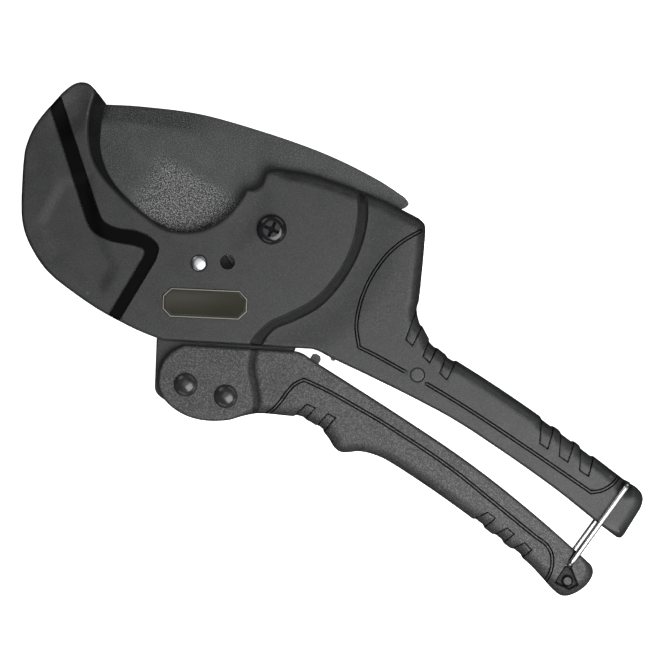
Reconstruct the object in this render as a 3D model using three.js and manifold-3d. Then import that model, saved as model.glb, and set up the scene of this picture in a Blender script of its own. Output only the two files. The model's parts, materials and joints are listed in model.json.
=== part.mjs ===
// Ratchet cutter for plastic pipe up to 63 mm, lying on its side.
// Millimetres. +X runs from the jaw to the handle ends, +Y towards the back of the blade, +Z is up.
// Every outline is drawn about the blade pivot's neighbourhood; the last lines move the whole tool
// so that the middle of its underside is the origin.
import * as THREE from "three";
import { mergeVertices } from "three/addons/utils/BufferGeometryUtils.js";
import Module from "manifold-3d";

const wasm = await Module();
wasm.setup();

// Thicknesses, each measured from the middle plane of the blade
const HEAD_HALF = 9;
const GRIP_HALF = 10;
const SLOT_HALF = 1.9;
const BLADE_HALF = 1.4;
const LIP_HALF = 5.5;
const LUG_HALF = 5;
const EAR_INNER = 5.4;
const EAR_OUTER = 10;
const PAWL_HALF = 1.6;
const UNDERSIDE = -12.5;
const EDGE_CHAMFER = 1.2;
const CHANNEL_DEPTH = 1.2;

// Axes of the pivots and pins, as [x, y]
const BLADE_AXIS = [0.4, 0.4];
const HANDLE_AXIS = [3.2, -63.8];
const DRIVE_PAWL_AXIS = [17.8, -59.8];
const HOLDING_PAWL_AXIS = [33.5, -26.5];
const STOP_PIN_AXIS = [-15.8, -23.8];
const SERVICE_HOLE_AXIS = [-7.1, -18];
const SERVICE_HOLE_RADIUS = 3;
const SPRING_PIN_AXIS = [72.9, -16.9];
const BAIL_AXIS = [155.8, -46.9];
const BAIL_CROSSBAR = [158.6, -10.9];

// Ratchet teeth on the blade, and the path of the blade's tail
const TOOTH_TIP_RADIUS = 35;
const TOOTH_ROOT_RADIUS = 32.8;
const TOOTH_COUNT = 8;
const TOOTH_PITCH = 8.5;
const FIRST_TOOTH_ANGLE = -54;
const HUB_RADIUS = 19.2;
const TEETH_CLEARANCE_RADIUS = 36.3;
const TAIL_CLEARANCE_RADIUS = 51.6;

// Fasteners and wires
const SCREW_SHANK_RADIUS = 3;
const SCREW_HEAD_RADIUS = 5.45;
const SCREW_HEAD_HEIGHT = 2.9;
const SCREW_END = -12.3;
const CROSS_RECESS = { length: 5.4, width: 1.25, depth: 1.6, turn: 0.12 };
const NUT_RADIUS = 5.75;
const LOCK_WASHER_RADIUS = 5.4;
const LOCK_WASHER_THICKNESS = 0.8;
const SLEEVE_RADIUS = 4.6;
const SLEEVE_HALF = 1.85;
const WASHER_RADIUS = 9;
const WASHER_INNER_RADIUS = 4.9;
const WASHER_FACE = 1.45;
const RIVET_SHANK_RADIUS = 2.5;
const RIVET_HEAD_RADIUS = 4.3;
const RIVET_HEAD_HEIGHT = 2.5;
const BUSH_RADIUS = 3.5;
const BUSH_HALF = 5.2;
const SPACER_RADIUS = 3.7;
const SPACER_FACES = [1.8, 5.3];
const PAWL_BOSS_RADIUS = 4.4;
const PAWL_PIN_RADIUS = 1.5;
const PAWL_PIN_ENDS = [-9.8, 6];
const STOP_PIN_RADIUS = 2.75;
const STOP_PIN_CROWN = 0.7;
const SPRING_PIN_RADIUS = 2.4;
const SPRING_PIN_CROWN = 0.1;
const BAIL_WIRE_RADIUS = 1.05;
const BAIL_LEG_OFFSET = 11.3;
const BAIL_STUB_END = 5;
const BAIL_BEND = 2.2;
const PIN_CLEARANCE = 0.2;
const HANDLE_SPRING = { radius: 5.5, wire: 0.6, turns: 1.25, low: 2.3, start: 0.4 };
const DRIVE_PAWL_SPRING = { radius: 4.5, wire: 0.5, turns: 2, low: 2, start: 2.2 };
const PAWL_SPRING = { radius: 1.35, wire: 0.25, turns: 15, start: [38.8, -20.6] };

const LABEL_SIZE = [31, 10.8];
const LABEL_CENTRE = [-6.2, -35.2];
const LABEL_THICKNESS = 0.6;
const LABEL_CORNER = 3;
const LABEL_TILT = THREE.MathUtils.degToRad(29);

// Fineness of round and curved shapes, and the reach of a cut that goes right through the tool
const ROUND_SIDES = 24;
const CURVE_STEPS = 2;
const THROUGH = 20;

const DIE_CAST = finish(0x35373a, 0.6, 0.2);
const HAMMERED = finish(0x2e2f31, 0.7, 0.2);
const COATED_STEEL = finish(0x4a4c4f, 0.45, 0.6);
const BLACK_STEEL = finish(0x17181a, 0.3, 0.6);
const BRIGHT_STEEL = finish(0xc9cbcd, 0.2, 1);
const SPRING_STEEL = finish(0x8b8e92, 0.35, 0.9);
const BRONZE = finish(0xa5793f, 0.4, 0.9);
const PLATE = finish(0x3a382c, 0.5, 0.3);

function finish(color, roughness, metalness) {
  return new THREE.MeshStandardMaterial({ color, roughness, metalness });
}

// ---------------------------------------------------------------- solids

function solid(geometry) {
  const bare = geometry.index ? geometry.toNonIndexed() : geometry.clone();
  bare.deleteAttribute("normal");
  bare.deleteAttribute("uv");
  const merged = mergeVertices(bare, 1e-4);
  return new wasm.Manifold(
    new wasm.Mesh({
      numProp: 3,
      vertProperties: new Float32Array(merged.attributes.position.array),
      triVerts: new Uint32Array(merged.index.array),
    }),
  );
}

function piece(name, body, material) {
  const mesh = body.getMesh();
  const geometry = new THREE.BufferGeometry();
  geometry.setAttribute("position", new THREE.BufferAttribute(mesh.vertProperties, 3));
  geometry.setIndex(new THREE.BufferAttribute(mesh.triVerts, 1));
  geometry.computeVertexNormals();
  const made = new THREE.Mesh(geometry, material);
  made.name = name;
  return made;
}

// An outline from a start point and runs: a run of one point is a straight line to it, and a longer
// run is a smooth curve through its points.
function outline(start, ...runs) {
  const shape = new THREE.Shape();
  shape.moveTo(...start);
  for (const run of runs) {
    if (run.length === 1) shape.lineTo(...run[0]);
    else shape.splineThru(run.map(([x, y]) => new THREE.Vector2(x, y)));
  }
  return shape;
}

function polygon(...points) {
  return new THREE.Shape(points.map(([x, y]) => new THREE.Vector2(x, y)));
}

// The outline pulled up from z = low to z = high, with its edges cut back by chamfer.
function plate(shape, low, high, chamfer = 0) {
  const geometry = new THREE.ExtrudeGeometry(shape, {
    depth: high - low - 2 * chamfer,
    curveSegments: CURVE_STEPS,
    bevelEnabled: chamfer > 0,
    bevelThickness: chamfer,
    bevelSize: chamfer,
    bevelOffset: -chamfer,
    bevelSegments: 1,
  });
  geometry.translate(0, 0, low + chamfer);
  return solid(geometry);
}

function rod([x, y], radius, low, high, sides = ROUND_SIDES) {
  const geometry = new THREE.CylinderGeometry(radius, radius, high - low, sides);
  geometry.rotateX(Math.PI / 2);
  geometry.translate(x, y, (low + high) / 2);
  return solid(geometry);
}

// The tool for a round hole right through the cutter.
function bore(axis, radius) {
  return rod(axis, radius, -THROUGH, THROUGH);
}

function ring(axis, inner, outer, low, high) {
  return rod(axis, outer, low, high).subtract(rod(axis, inner, low - 1, high + 1));
}

// A solid of revolution about the Z axis through axis, from a profile of [radius, z] points.
function turned([x, y], profile, sides = ROUND_SIDES) {
  const points = profile.map(([radius, z]) => new THREE.Vector2(radius, z));
  const geometry = new THREE.LatheGeometry(points, sides);
  geometry.rotateX(Math.PI / 2);
  geometry.translate(x, y, 0);
  return solid(geometry);
}

function polar([x, y], radius, degrees) {
  const angle = THREE.MathUtils.degToRad(degrees);
  return [x + radius * Math.cos(angle), y + radius * Math.sin(angle)];
}

// A round wire along a curve, as a geometry that can still be turned.
function wireGeometry(curve, radius, steps, sides) {
  const section = new THREE.Shape();
  for (let i = 0; i < sides; i += 1) {
    const [x, y] = polar([0, 0], radius, (360 * i) / sides);
    if (i === 0) section.moveTo(x, y);
    else section.lineTo(x, y);
  }
  return new THREE.ExtrudeGeometry(section, { steps, extrudePath: curve, bevelEnabled: false });
}

class Helix extends THREE.Curve {
  constructor(radius, pitch, turns, startAngle = 0) {
    super();
    Object.assign(this, { radius, pitch, turns, startAngle });
  }

  getPoint(t, target = new THREE.Vector3()) {
    const angle = this.startAngle + 2 * Math.PI * this.turns * t;
    return target.set(
      this.radius * Math.cos(angle),
      this.radius * Math.sin(angle),
      this.pitch * this.turns * t,
    );
  }
}

// ---------------------------------------------------------------- body casting

const mouth = [
  [-77.5, 0.8],
  [-71, -9.2],
  [-63.3, -14.6],
  [-53.3, -17.7],
  [-40, -19.7],
  [-32, -19.4],
  [-25, -16.2],
  [-19.5, -11],
  [-16.2, -4],
  [-15, 3.3],
  [-15.3, 8.2],
];

// The cheek, the spine behind the slot and the upper handle: one outline for the whole casting.
function bodyOutline() {
  return outline(
    [-80, 9.2],
    mouth,
    [[-12.9, 9.3]],
    [[-11.4, 12], [-12.2, 15.4]],
    [[-11.9, 18], [-9.6, 20.4]],
    [[0, 24.5], [10, 27.3], [20, 29.3], [30, 30.8], [43.5, 31.9]],
    [[46.6, 31.2], [48.7, 28.4]],
    [[53.6, 18.6], [57.1, 11.4], [61.8, 2.5], [69.3, -3.2], [76, -5]],
    [[100, -5.4], [125.4, -6.9], [157.1, -10.1]],
    [[157.1, -11.2]],
    [[157.6, -12.1], [158.6, -12.4], [159.6, -12.1], [160.1, -11.2]],
    [[160.1, -10.1]],
    [[162, -10.1]],
    [[164.8, -10.9], [166.7, -12.9], [167.5, -16]],
    [[167.4, -27.2]],
    [[166.9, -28.8], [165.4, -29.4]],
    [[154.6, -28.2], [133, -25.7], [98.5, -23.9], [80, -24.5], [60, -26.2], [46, -27.7], [38, -28.3]],
    [[35, -29.1]],
    [[-12, -54.3]],
    [[-21.7, -56.1], [-36.7, -57.2], [-50, -56.6], [-60, -55.3], [-68, -52.2], [-75.8, -47],
      [-81.5, -39.8], [-89.6, -25], [-91.9, -18.5], [-92.6, -11], [-91.3, -1.7], [-90, 4.2],
      [-87.9, 8.7], [-84.6, 10.8], [-81.4, 10.4], [-80, 9.2]],
  );
}

// The thinner lips beside the slot, which stand further into the mouth than the cheeks do.
function lipOutline() {
  return outline(
    [-82, 10.3],
    [[-79.6, 9.8], [-75.4, 8.1]],
    [[-72.8, 1], [-67.8, -7.6], [-60.5, -13.6], [-52, -16.9], [-40, -19.1], [-33, -18.9]],
    [[-33, -24]],
    [[-60, -24]],
    [[-84, -8]],
  );
}

// Where the blade, its tail and the two pawls run between the cheeks.
function slotSolid() {
  const low = -SLOT_HALF;
  const high = SLOT_HALF;
  const jaw = outline(
    [-79.9, 14],
    [[-79.9, 6]],
    [[-79.1, -1.5], [-75.7, -9.4], [-69, -16.5], [-59.6, -21.3], [-48.3, -24.2], [-37, -25],
      [-28.2, -23.7], [-20.5, -19.4], [-14, -13]],
    [[-5, 26]],
    [[-60, 26]],
  );
  const tail = [BLADE_AXIS];
  for (let angle = -25; angle <= 55; angle += 5) {
    tail.push(polar(BLADE_AXIS, TAIL_CLEARANCE_RADIUS, angle));
  }
  const pawls = polygon([9.8, -20], [9.8, -48], [46.6, -32], [46.6, -21.2], [42, -14], [34, -4]);
  const springRun = polygon([34, -23.2], [72.9, -19.0], [72.9, -14.9], [34, -19.1]);
  return plate(jaw, low, high)
    .add(rod(BLADE_AXIS, TEETH_CLEARANCE_RADIUS, low, high, 64))
    .add(plate(polygon(...tail), low, high))
    .add(plate(pawls, low, high))
    .add(plate(springRun, low, high));
}

// The tongue between the lower handle's two ears, with a recess for the handle's spring.
function lugSolid() {
  const shape = new THREE.Shape();
  shape.moveTo(-14.6, -50);
  shape.lineTo(-14.6, -55.4);
  shape.lineTo(-6.3, -70.2);
  shape.quadraticCurveTo(-4.9, -72.6, -2.2, -72.6);
  for (const angle of [-105, -90, -75, -60, -45, -30, -15, 0, 15, 30, 45]) {
    shape.lineTo(...polar(HANDLE_AXIS, 9.2, angle));
  }
  shape.lineTo(9.5, -56);
  shape.lineTo(9.5, -46);
  return plate(shape, -LUG_HALF, LUG_HALF)
    .subtract(rod(HANDLE_AXIS, 3.7, -LUG_HALF - 1, LUG_HALF + 1))
    .subtract(rod(HANDLE_AXIS, 7.2, 2.2, LUG_HALF + 1));
}

// The rib under the cheeks that closes the gap above the lower handle, between its two ears.
function ribSolid() {
  return plate(polygon([8, -40], [9.5, -46.5], [30.5, -34.8], [30.5, -29]), -LUG_HALF, LUG_HALF);
}

// The black zig-zag channel of the jaw and the curved channel of the cheek, cut into both sides.
function cheekChannels() {
  const zigzag = outline(
    [-95, 5.7],
    [[-58.3, -25.4]],
    [[-53.3, -28.8], [-47.5, -28.3], [-41.7, -25.8], [-35.8, -25], [-31.5, -26.4], [-29.8, -31]],
    [[-29.6, -60]],
    [[-34, -60]],
    [[-34.3, -32.5]],
    [[-35.2, -30.2], [-38.3, -30.3], [-43.3, -32.1], [-48.3, -33.8], [-55, -34], [-58.3, -32.3]],
    [[-95, -0.8]],
  );
  const arc = outline(
    [22, 30.5],
    [[27.6, 22], [31.6, 9], [31.9, -3], [29.3, -15], [24, -24], [19.8, -30], [18.9, -39]],
    [[15.6, -41]],
    [[15.6, -35], [17.2, -29], [21.4, -22.5], [26.4, -14], [28.9, -3], [28.6, 8.5], [24.6, 21],
      [18.6, 29.8]],
  );
  const floor = HEAD_HALF - CHANNEL_DEPTH;
  const cut = (shape) => plate(shape, floor, THROUGH).add(plate(shape, -THROUGH, -floor));
  return [cut(zigzag), cut(arc)];
}

function bodyCasting() {
  const thickSide = outline(
    [25, 40],
    [[30.9, 22], [34.4, 9], [34.8, -3], [32.2, -16], [26.5, -26], [22.5, -33], [22, -45]],
    [[200, -60]],
    [[200, 60]],
  );
  const thick = plate(bodyOutline(), -GRIP_HALF, GRIP_HALF, EDGE_CHAMFER);
  let body = plate(bodyOutline(), -HEAD_HALF, HEAD_HALF, EDGE_CHAMFER)
    .add(thick.intersect(plate(thickSide, -THROUGH, THROUGH)))
    .add(plate(lipOutline(), -LIP_HALF, LIP_HALF))
    .add(lugSolid())
    .add(ribSolid())
    .subtract(slotSolid());
  for (const channel of cheekChannels()) body = body.subtract(channel);
  const pawlPinHoleEnd = PAWL_PIN_ENDS[1] + PIN_CLEARANCE;
  return body
    .subtract(bore(BLADE_AXIS, SCREW_SHANK_RADIUS + PIN_CLEARANCE))
    .subtract(bore(STOP_PIN_AXIS, STOP_PIN_RADIUS + PIN_CLEARANCE))
    .subtract(rod(SERVICE_HOLE_AXIS, SERVICE_HOLE_RADIUS, 0, THROUGH))
    .subtract(bore(SPRING_PIN_AXIS, SPRING_PIN_RADIUS + PIN_CLEARANCE))
    .subtract(rod(HOLDING_PAWL_AXIS, PAWL_PIN_RADIUS + PIN_CLEARANCE, -THROUGH, pawlPinHoleEnd));
}

// ---------------------------------------------------------------- blade

function bladeOutline() {
  const shape = new THREE.Shape();
  const through = (points) => shape.splineThru(points.map(([x, y]) => new THREE.Vector2(x, y)));
  shape.moveTo(-78.3, 6.2);
  through([[-74.6, 8.1], [-64.2, 13.7], [-45, 22.4], [-25, 28.3], [-5, 32.9], [10, 35.2], [25, 36.2],
    [35.5, 35.8]]);
  through([[37.9, 34.6], [37.4, 32.4]]);
  shape.lineTo(...polar(BLADE_AXIS, 36, 38.5));
  for (let angle = 36; angle >= 15; angle -= 7) {
    shape.lineTo(...polar(BLADE_AXIS, TOOTH_TIP_RADIUS, angle));
  }
  for (let i = TOOTH_COUNT - 1; i >= 0; i -= 1) {
    const start = FIRST_TOOTH_ANGLE + i * TOOTH_PITCH;
    shape.lineTo(...polar(BLADE_AXIS, TOOTH_ROOT_RADIUS, start + TOOTH_PITCH - 0.2));
    shape.lineTo(...polar(BLADE_AXIS, TOOTH_TIP_RADIUS, start + 2));
    shape.lineTo(...polar(BLADE_AXIS, TOOTH_TIP_RADIUS, start + 0.6));
  }
  shape.lineTo(...polar(BLADE_AXIS, TOOTH_ROOT_RADIUS, FIRST_TOOTH_ANGLE - 1.6));
  shape.lineTo(...polar(BLADE_AXIS, HUB_RADIUS + 2, FIRST_TOOTH_ANGLE - 4));
  for (let angle = -66; angle >= -134; angle -= 8) {
    shape.lineTo(...polar(BLADE_AXIS, HUB_RADIUS, angle));
  }
  shape.lineTo(-16.5, -13);
  through([[-22, -18.6], [-29, -22.4], [-37, -23.6], [-48, -22.8], [-59, -20], [-68, -15.3], [-74.4, -8.5],
    [-77.8, -1], [-78.3, 6.2]]);
  return shape;
}

// The grinding wedge: it takes each side of the blade down to a thin edge along the cutting curve.
function grinding(side) {
  const curve = new THREE.CatmullRomCurve3(
    [[-10, -11], [-16.5, -13], [-22, -18.6], [-29, -22.4], [-37, -23.6], [-48, -22.8], [-59, -20],
      [-68, -15.3], [-74.4, -8.5], [-77.8, -1], [-78.6, 8], [-79, 14]].map(
      ([x, y]) => new THREE.Vector3(x, y, 0),
    ),
  );
  const steps = 40;
  const width = 5;
  const edgeHalf = 0.15;
  const outside = 2;
  const positions = [];
  const rows = [];
  for (let i = 0; i <= steps; i += 1) {
    const point = curve.getPoint(i / steps);
    const tangent = curve.getTangent(i / steps);
    const inward = new THREE.Vector2(tangent.y, -tangent.x);
    const at = (along, z) => [point.x + inward.x * along, point.y + inward.y * along, side * z];
    rows.push([
      at(width, BLADE_HALF),
      at(width, BLADE_HALF + outside),
      at(-outside, BLADE_HALF + outside),
      at(-outside, edgeHalf - 0.4),
    ]);
  }
  const quad = (a, b, c, d) => {
    const order = side > 0 ? [a, b, c, a, c, d] : [a, c, b, a, d, c];
    for (const corner of order) positions.push(...corner);
  };
  for (let i = 0; i < steps; i += 1) {
    for (let k = 0; k < 4; k += 1) {
      const next = (k + 1) % 4;
      quad(rows[i][k], rows[i + 1][k], rows[i + 1][next], rows[i][next]);
    }
  }
  quad(rows[0][0], rows[0][1], rows[0][2], rows[0][3]);
  quad(rows[steps][3], rows[steps][2], rows[steps][1], rows[steps][0]);
  const geometry = new THREE.BufferGeometry();
  geometry.setAttribute("position", new THREE.Float32BufferAttribute(positions, 3));
  return solid(geometry);
}

function blade() {
  return plate(bladeOutline(), -BLADE_HALF, BLADE_HALF)
    .subtract(bore(BLADE_AXIS, SLEEVE_RADIUS + PIN_CLEARANCE))
    .subtract(grinding(1))
    .subtract(grinding(-1));
}

// ---------------------------------------------------------------- lower handle and pawls

function lowerHandleCasting() {
  const shape = outline(
    [-4.5, -51.6],
    [[30.5, -32.9]],
    [[32.5, -32.3]],
    [[50, -32.5], [75, -33], [100, -34], [120, -35.8], [140, -38.6], [154.6, -41.2]],
    [[160, -42.2], [163.4, -43.1], [165.3, -45.6], [165.3, -50], [163.7, -54], [161.3, -57],
      [158.5, -58.1], [154.5, -57.4]],
    [[143, -54.2], [130, -52.5], [113.8, -50.7], [95, -49.5], [80, -49.2], [73.5, -50.2], [69.3, -51.8],
      [66, -54.3], [63.3, -55.5], [60.3, -54.9], [56.5, -53], [50, -51.8], [44.5, -52.6], [38.6, -55.2],
      [31.5, -58.8], [27, -62.5], [22.5, -67.2], [15, -71.7], [7, -73.6], [-1, -72.4], [-5.8, -68.6],
      [-8.2, -62.5], [-7.6, -56.5], [-4.5, -51.6]],
  );
  const bump = polygon(
    [36.6, -34],
    [40.3, -34],
    [40.3, -30.7],
    [39.4, -29.6],
    [37.6, -29.6],
    [36.6, -30.4],
  );
  const gap = polygon([-20, -90], [31, -90], [31, -30], [-20, -30]);
  return plate(shape, -EAR_OUTER, EAR_OUTER, EDGE_CHAMFER)
    .add(plate(bump, -LUG_HALF, LUG_HALF))
    .subtract(plate(gap, -EAR_INNER, EAR_INNER))
    .subtract(bore(HANDLE_AXIS, RIVET_SHANK_RADIUS + PIN_CLEARANCE))
    .subtract(bore(DRIVE_PAWL_AXIS, RIVET_SHANK_RADIUS + PIN_CLEARANCE))
    .subtract(bore(BAIL_AXIS, BAIL_WIRE_RADIUS + PIN_CLEARANCE));
}

function drivePawl() {
  const arm = polygon(
    [24.5, -26.6],
    [27, -26.2],
    [28.6, -29],
    [26.4, -41],
    [22.2, -58.5],
    [13.5, -58.5],
    [18.6, -45],
  );
  return plate(arm, -PAWL_HALF, PAWL_HALF)
    .add(rod(DRIVE_PAWL_AXIS, PAWL_BOSS_RADIUS, -PAWL_HALF, PAWL_HALF))
    .subtract(bore(DRIVE_PAWL_AXIS, RIVET_SHANK_RADIUS + PIN_CLEARANCE));
}

function holdingPawl() {
  const shape = outline(
    [31.3, -17.75],
    [[33.2, -18.2]],
    [[35.6, -21.3], [36.6, -24.8]],
    [[44.6, -27]],
    [[44.7, -28.2], [43.7, -28.8], [42.7, -28.1]],
    [[36.3, -27.6]],
    [[34.6, -29.4], [31.8, -29], [30.6, -26.6]],
  );
  return plate(shape, -PAWL_HALF, PAWL_HALF).subtract(
    bore(HOLDING_PAWL_AXIS, PAWL_PIN_RADIUS + PIN_CLEARANCE),
  );
}

// ---------------------------------------------------------------- pins, screw and rivets

function rivet(axis) {
  const shank = RIVET_SHANK_RADIUS;
  const dome = [];
  const steps = 5;
  for (let i = 0; i <= steps; i += 1) {
    const angle = ((i / steps) * Math.PI) / 2;
    dome.push([RIVET_HEAD_RADIUS * Math.cos(angle), RIVET_HEAD_HEIGHT * Math.sin(angle)]);
  }
  dome[steps][0] = 0;
  const upper = dome.map(([radius, z]) => [radius, EAR_OUTER + z]);
  const lower = dome.map(([radius, z]) => [radius, -EAR_OUTER - z]).reverse();
  return turned(axis, [...lower, [shank, -EAR_OUTER], [shank, EAR_OUTER], ...upper]);
}

function crossRecess() {
  const { length, width, depth, turn } = CROSS_RECESS;
  const arm = (angle) => {
    const geometry = new THREE.BoxGeometry(length, width, 2 * depth);
    geometry.rotateZ(angle);
    return solid(geometry);
  };
  return arm(turn).add(arm(turn + Math.PI / 2));
}

function pivotScrew() {
  const top = HEAD_HALF + SCREW_HEAD_HEIGHT;
  const profile = [
    [0, SCREW_END],
    [SCREW_SHANK_RADIUS, SCREW_END],
    [SCREW_SHANK_RADIUS, HEAD_HALF],
    [SCREW_HEAD_RADIUS, HEAD_HALF],
    [SCREW_HEAD_RADIUS, HEAD_HALF + 0.9],
    [SCREW_HEAD_RADIUS - 0.6, HEAD_HALF + 1.9],
    [SCREW_HEAD_RADIUS - 1.8, top - 0.35],
    [2.2, top],
    [0, top],
  ];
  const recess = crossRecess().translate([...BLADE_AXIS, top]);
  return turned(BLADE_AXIS, profile).subtract(recess);
}

function lockWasher() {
  const low = -HEAD_HALF - LOCK_WASHER_THICKNESS;
  return ring(BLADE_AXIS, SCREW_SHANK_RADIUS + PIN_CLEARANCE, LOCK_WASHER_RADIUS, low, -HEAD_HALF);
}

function hexNut() {
  const nut = rod(BLADE_AXIS, NUT_RADIUS, UNDERSIDE, -HEAD_HALF - LOCK_WASHER_THICKNESS, 6);
  return nut.subtract(bore(BLADE_AXIS, SCREW_SHANK_RADIUS + PIN_CLEARANCE));
}

// One of the two thin washers beside the blade, from z = low to z = high.
function bladeWasher(low, high) {
  return ring(BLADE_AXIS, WASHER_INNER_RADIUS, WASHER_RADIUS, low, high);
}

function bladeSleeve() {
  const inner = SCREW_SHANK_RADIUS + PIN_CLEARANCE;
  return ring(BLADE_AXIS, inner, SLEEVE_RADIUS, -SLEEVE_HALF, SLEEVE_HALF);
}

function handleBush() {
  const inner = RIVET_SHANK_RADIUS + PIN_CLEARANCE;
  return ring(HANDLE_AXIS, inner, BUSH_RADIUS, -BUSH_HALF, BUSH_HALF);
}

// One of the two spacers beside the drive pawl, from z = low to z = high.
function drivePawlSpacer(low, high) {
  return ring(DRIVE_PAWL_AXIS, RIVET_SHANK_RADIUS + PIN_CLEARANCE, SPACER_RADIUS, low, high);
}

// A pin with a low crown on each end.
function domedPin(axis, radius, half, crown) {
  return turned(axis, [
    [0, -half - crown],
    [radius * 0.6, -half - crown * 0.7],
    [radius, -half],
    [radius, half],
    [radius * 0.6, half + crown * 0.7],
    [0, half + crown],
  ]);
}

// ---------------------------------------------------------------- springs, bail and label

// A torsion spring seen along the pivot: a short coil about axis, from z = low upwards.
function torsionSpring([x, y], { radius, wire, turns, low, start }) {
  const stepsPerTurn = 12;
  const helix = new Helix(radius, 2.25 * wire, turns, start);
  return solid(wireGeometry(helix, wire, stepsPerTurn * turns, 6)).translate([x, y, low + wire]);
}

// The compression spring that lies in the handle between the holding pawl and its cross pin.
function pawlSpring() {
  const { radius, wire, turns } = PAWL_SPRING;
  const start = new THREE.Vector3(...PAWL_SPRING.start, 0);
  const along = new THREE.Vector3(...SPRING_PIN_AXIS, 0).sub(start);
  const pinClearance = 2.1;
  const length = along.length() - SPRING_PIN_RADIUS - pinClearance;
  const coil = wireGeometry(new Helix(radius, length / turns, turns), wire, 8 * turns, 4);
  const up = new THREE.Vector3(0, 0, 1);
  coil.applyQuaternion(new THREE.Quaternion().setFromUnitVectors(up, along.normalize()));
  coil.translate(start.x, start.y, start.z);
  return solid(coil);
}

// The latch wire: two stubs in the lower handle, two legs, and a crossbar over the upper handle.
function bail() {
  const hinge = new THREE.Vector3(...BAIL_AXIS, 0);
  const top = new THREE.Vector3(...BAIL_CROSSBAR, 0);
  const at = (base, z) => base.clone().setZ(z);
  const leg = BAIL_LEG_OFFSET;
  const corners = [
    at(hinge, -BAIL_STUB_END),
    at(hinge, -leg),
    at(top, -leg),
    at(top, leg),
    at(hinge, leg),
    at(hinge, BAIL_STUB_END),
  ];
  const path = new THREE.CurvePath();
  let from = corners[0];
  for (let i = 1; i < corners.length - 1; i += 1) {
    const before = corners[i - 1].clone().sub(corners[i]).setLength(BAIL_BEND).add(corners[i]);
    const after = corners[i + 1].clone().sub(corners[i]).setLength(BAIL_BEND).add(corners[i]);
    path.add(new THREE.LineCurve3(from, before));
    path.add(new THREE.QuadraticBezierCurve3(before, corners[i], after));
    from = after;
  }
  path.add(new THREE.LineCurve3(from, corners[corners.length - 1]));
  return solid(wireGeometry(path, BAIL_WIRE_RADIUS, 72, 8));
}

function labelPlate() {
  const [length, height] = LABEL_SIZE;
  const half = [length / 2, height / 2];
  const cut = LABEL_CORNER;
  const shape = polygon(
    [-half[0] + cut, -half[1]],
    [half[0] - cut, -half[1]],
    [half[0], -half[1] + cut],
    [half[0], half[1] - cut],
    [half[0] - cut, half[1]],
    [-half[0] + cut, half[1]],
    [-half[0], half[1] - cut],
    [-half[0], -half[1] + cut],
  );
  return plate(shape, 0, LABEL_THICKNESS);
}

// ---------------------------------------------------------------- assembly

const tool = new THREE.Group();
const add = (name, body, material) => {
  const made = piece(name, body, material);
  tool.add(made);
  return made;
};

const [spacerInner, spacerOuter] = SPACER_FACES;

add("body_casting", bodyCasting(), DIE_CAST);
add("blade", blade(), COATED_STEEL);
add("blade_pivot_screw", pivotScrew(), BLACK_STEEL);
add("blade_pivot_sleeve", bladeSleeve(), BRONZE);
add("blade_washer_front", bladeWasher(WASHER_FACE, SLEEVE_HALF), BRONZE);
add("blade_washer_rear", bladeWasher(-SLEEVE_HALF, -WASHER_FACE), BRONZE);
add("blade_pivot_lock_washer", lockWasher(), SPRING_STEEL);
add("blade_pivot_nut", hexNut(), BLACK_STEEL);
add("blade_stop_pin", domedPin(STOP_PIN_AXIS, STOP_PIN_RADIUS, HEAD_HALF, STOP_PIN_CROWN), BRIGHT_STEEL);
add("holding_pawl", holdingPawl(), BLACK_STEEL);
add("holding_pawl_pin", rod(HOLDING_PAWL_AXIS, PAWL_PIN_RADIUS, ...PAWL_PIN_ENDS), BRIGHT_STEEL);
add("holding_pawl_spring", pawlSpring(), SPRING_STEEL);
add(
  "spring_cross_pin",
  domedPin(SPRING_PIN_AXIS, SPRING_PIN_RADIUS, GRIP_HALF - SPRING_PIN_CROWN, SPRING_PIN_CROWN),
  BRIGHT_STEEL,
);
add("lower_handle_casting", lowerHandleCasting(), HAMMERED);
add("handle_pivot_rivet", rivet(HANDLE_AXIS), BLACK_STEEL);
add("handle_pivot_bush", handleBush(), BRONZE);
add("handle_return_spring", torsionSpring(HANDLE_AXIS, HANDLE_SPRING), SPRING_STEEL);
add("drive_pawl", drivePawl(), BLACK_STEEL);
add("drive_pawl_rivet", rivet(DRIVE_PAWL_AXIS), BLACK_STEEL);
add("drive_pawl_spacer_front", drivePawlSpacer(spacerInner, spacerOuter), BRONZE);
add("drive_pawl_spacer_rear", drivePawlSpacer(-spacerOuter, -spacerInner), BRONZE);
add("drive_pawl_spring", torsionSpring(DRIVE_PAWL_AXIS, DRIVE_PAWL_SPRING), SPRING_STEEL);
add("bail_wire", bail(), BRIGHT_STEEL);
const label = add("label_plate", labelPlate(), PLATE);
label.rotation.z = LABEL_TILT;
label.position.set(...LABEL_CENTRE, HEAD_HALF);

// The origin moves to the middle of the underside of the whole tool.
const box = new THREE.Box3().setFromObject(tool, true);
const centre = box.getCenter(new THREE.Vector3());
tool.position.set(-centre.x, -centre.y, -box.min.z);

const cutter = new THREE.Group();
cutter.add(tool);

export default cutter;
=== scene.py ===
# Ratchet cutter for plastic pipe: fine meshes, materials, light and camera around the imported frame.
import json
import math
from collections import Counter

import bmesh
import bpy
import numpy as np
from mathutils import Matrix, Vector
from mathutils.geometry import delaunay_2d_cdt
from mathutils.kdtree import KDTree


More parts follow.
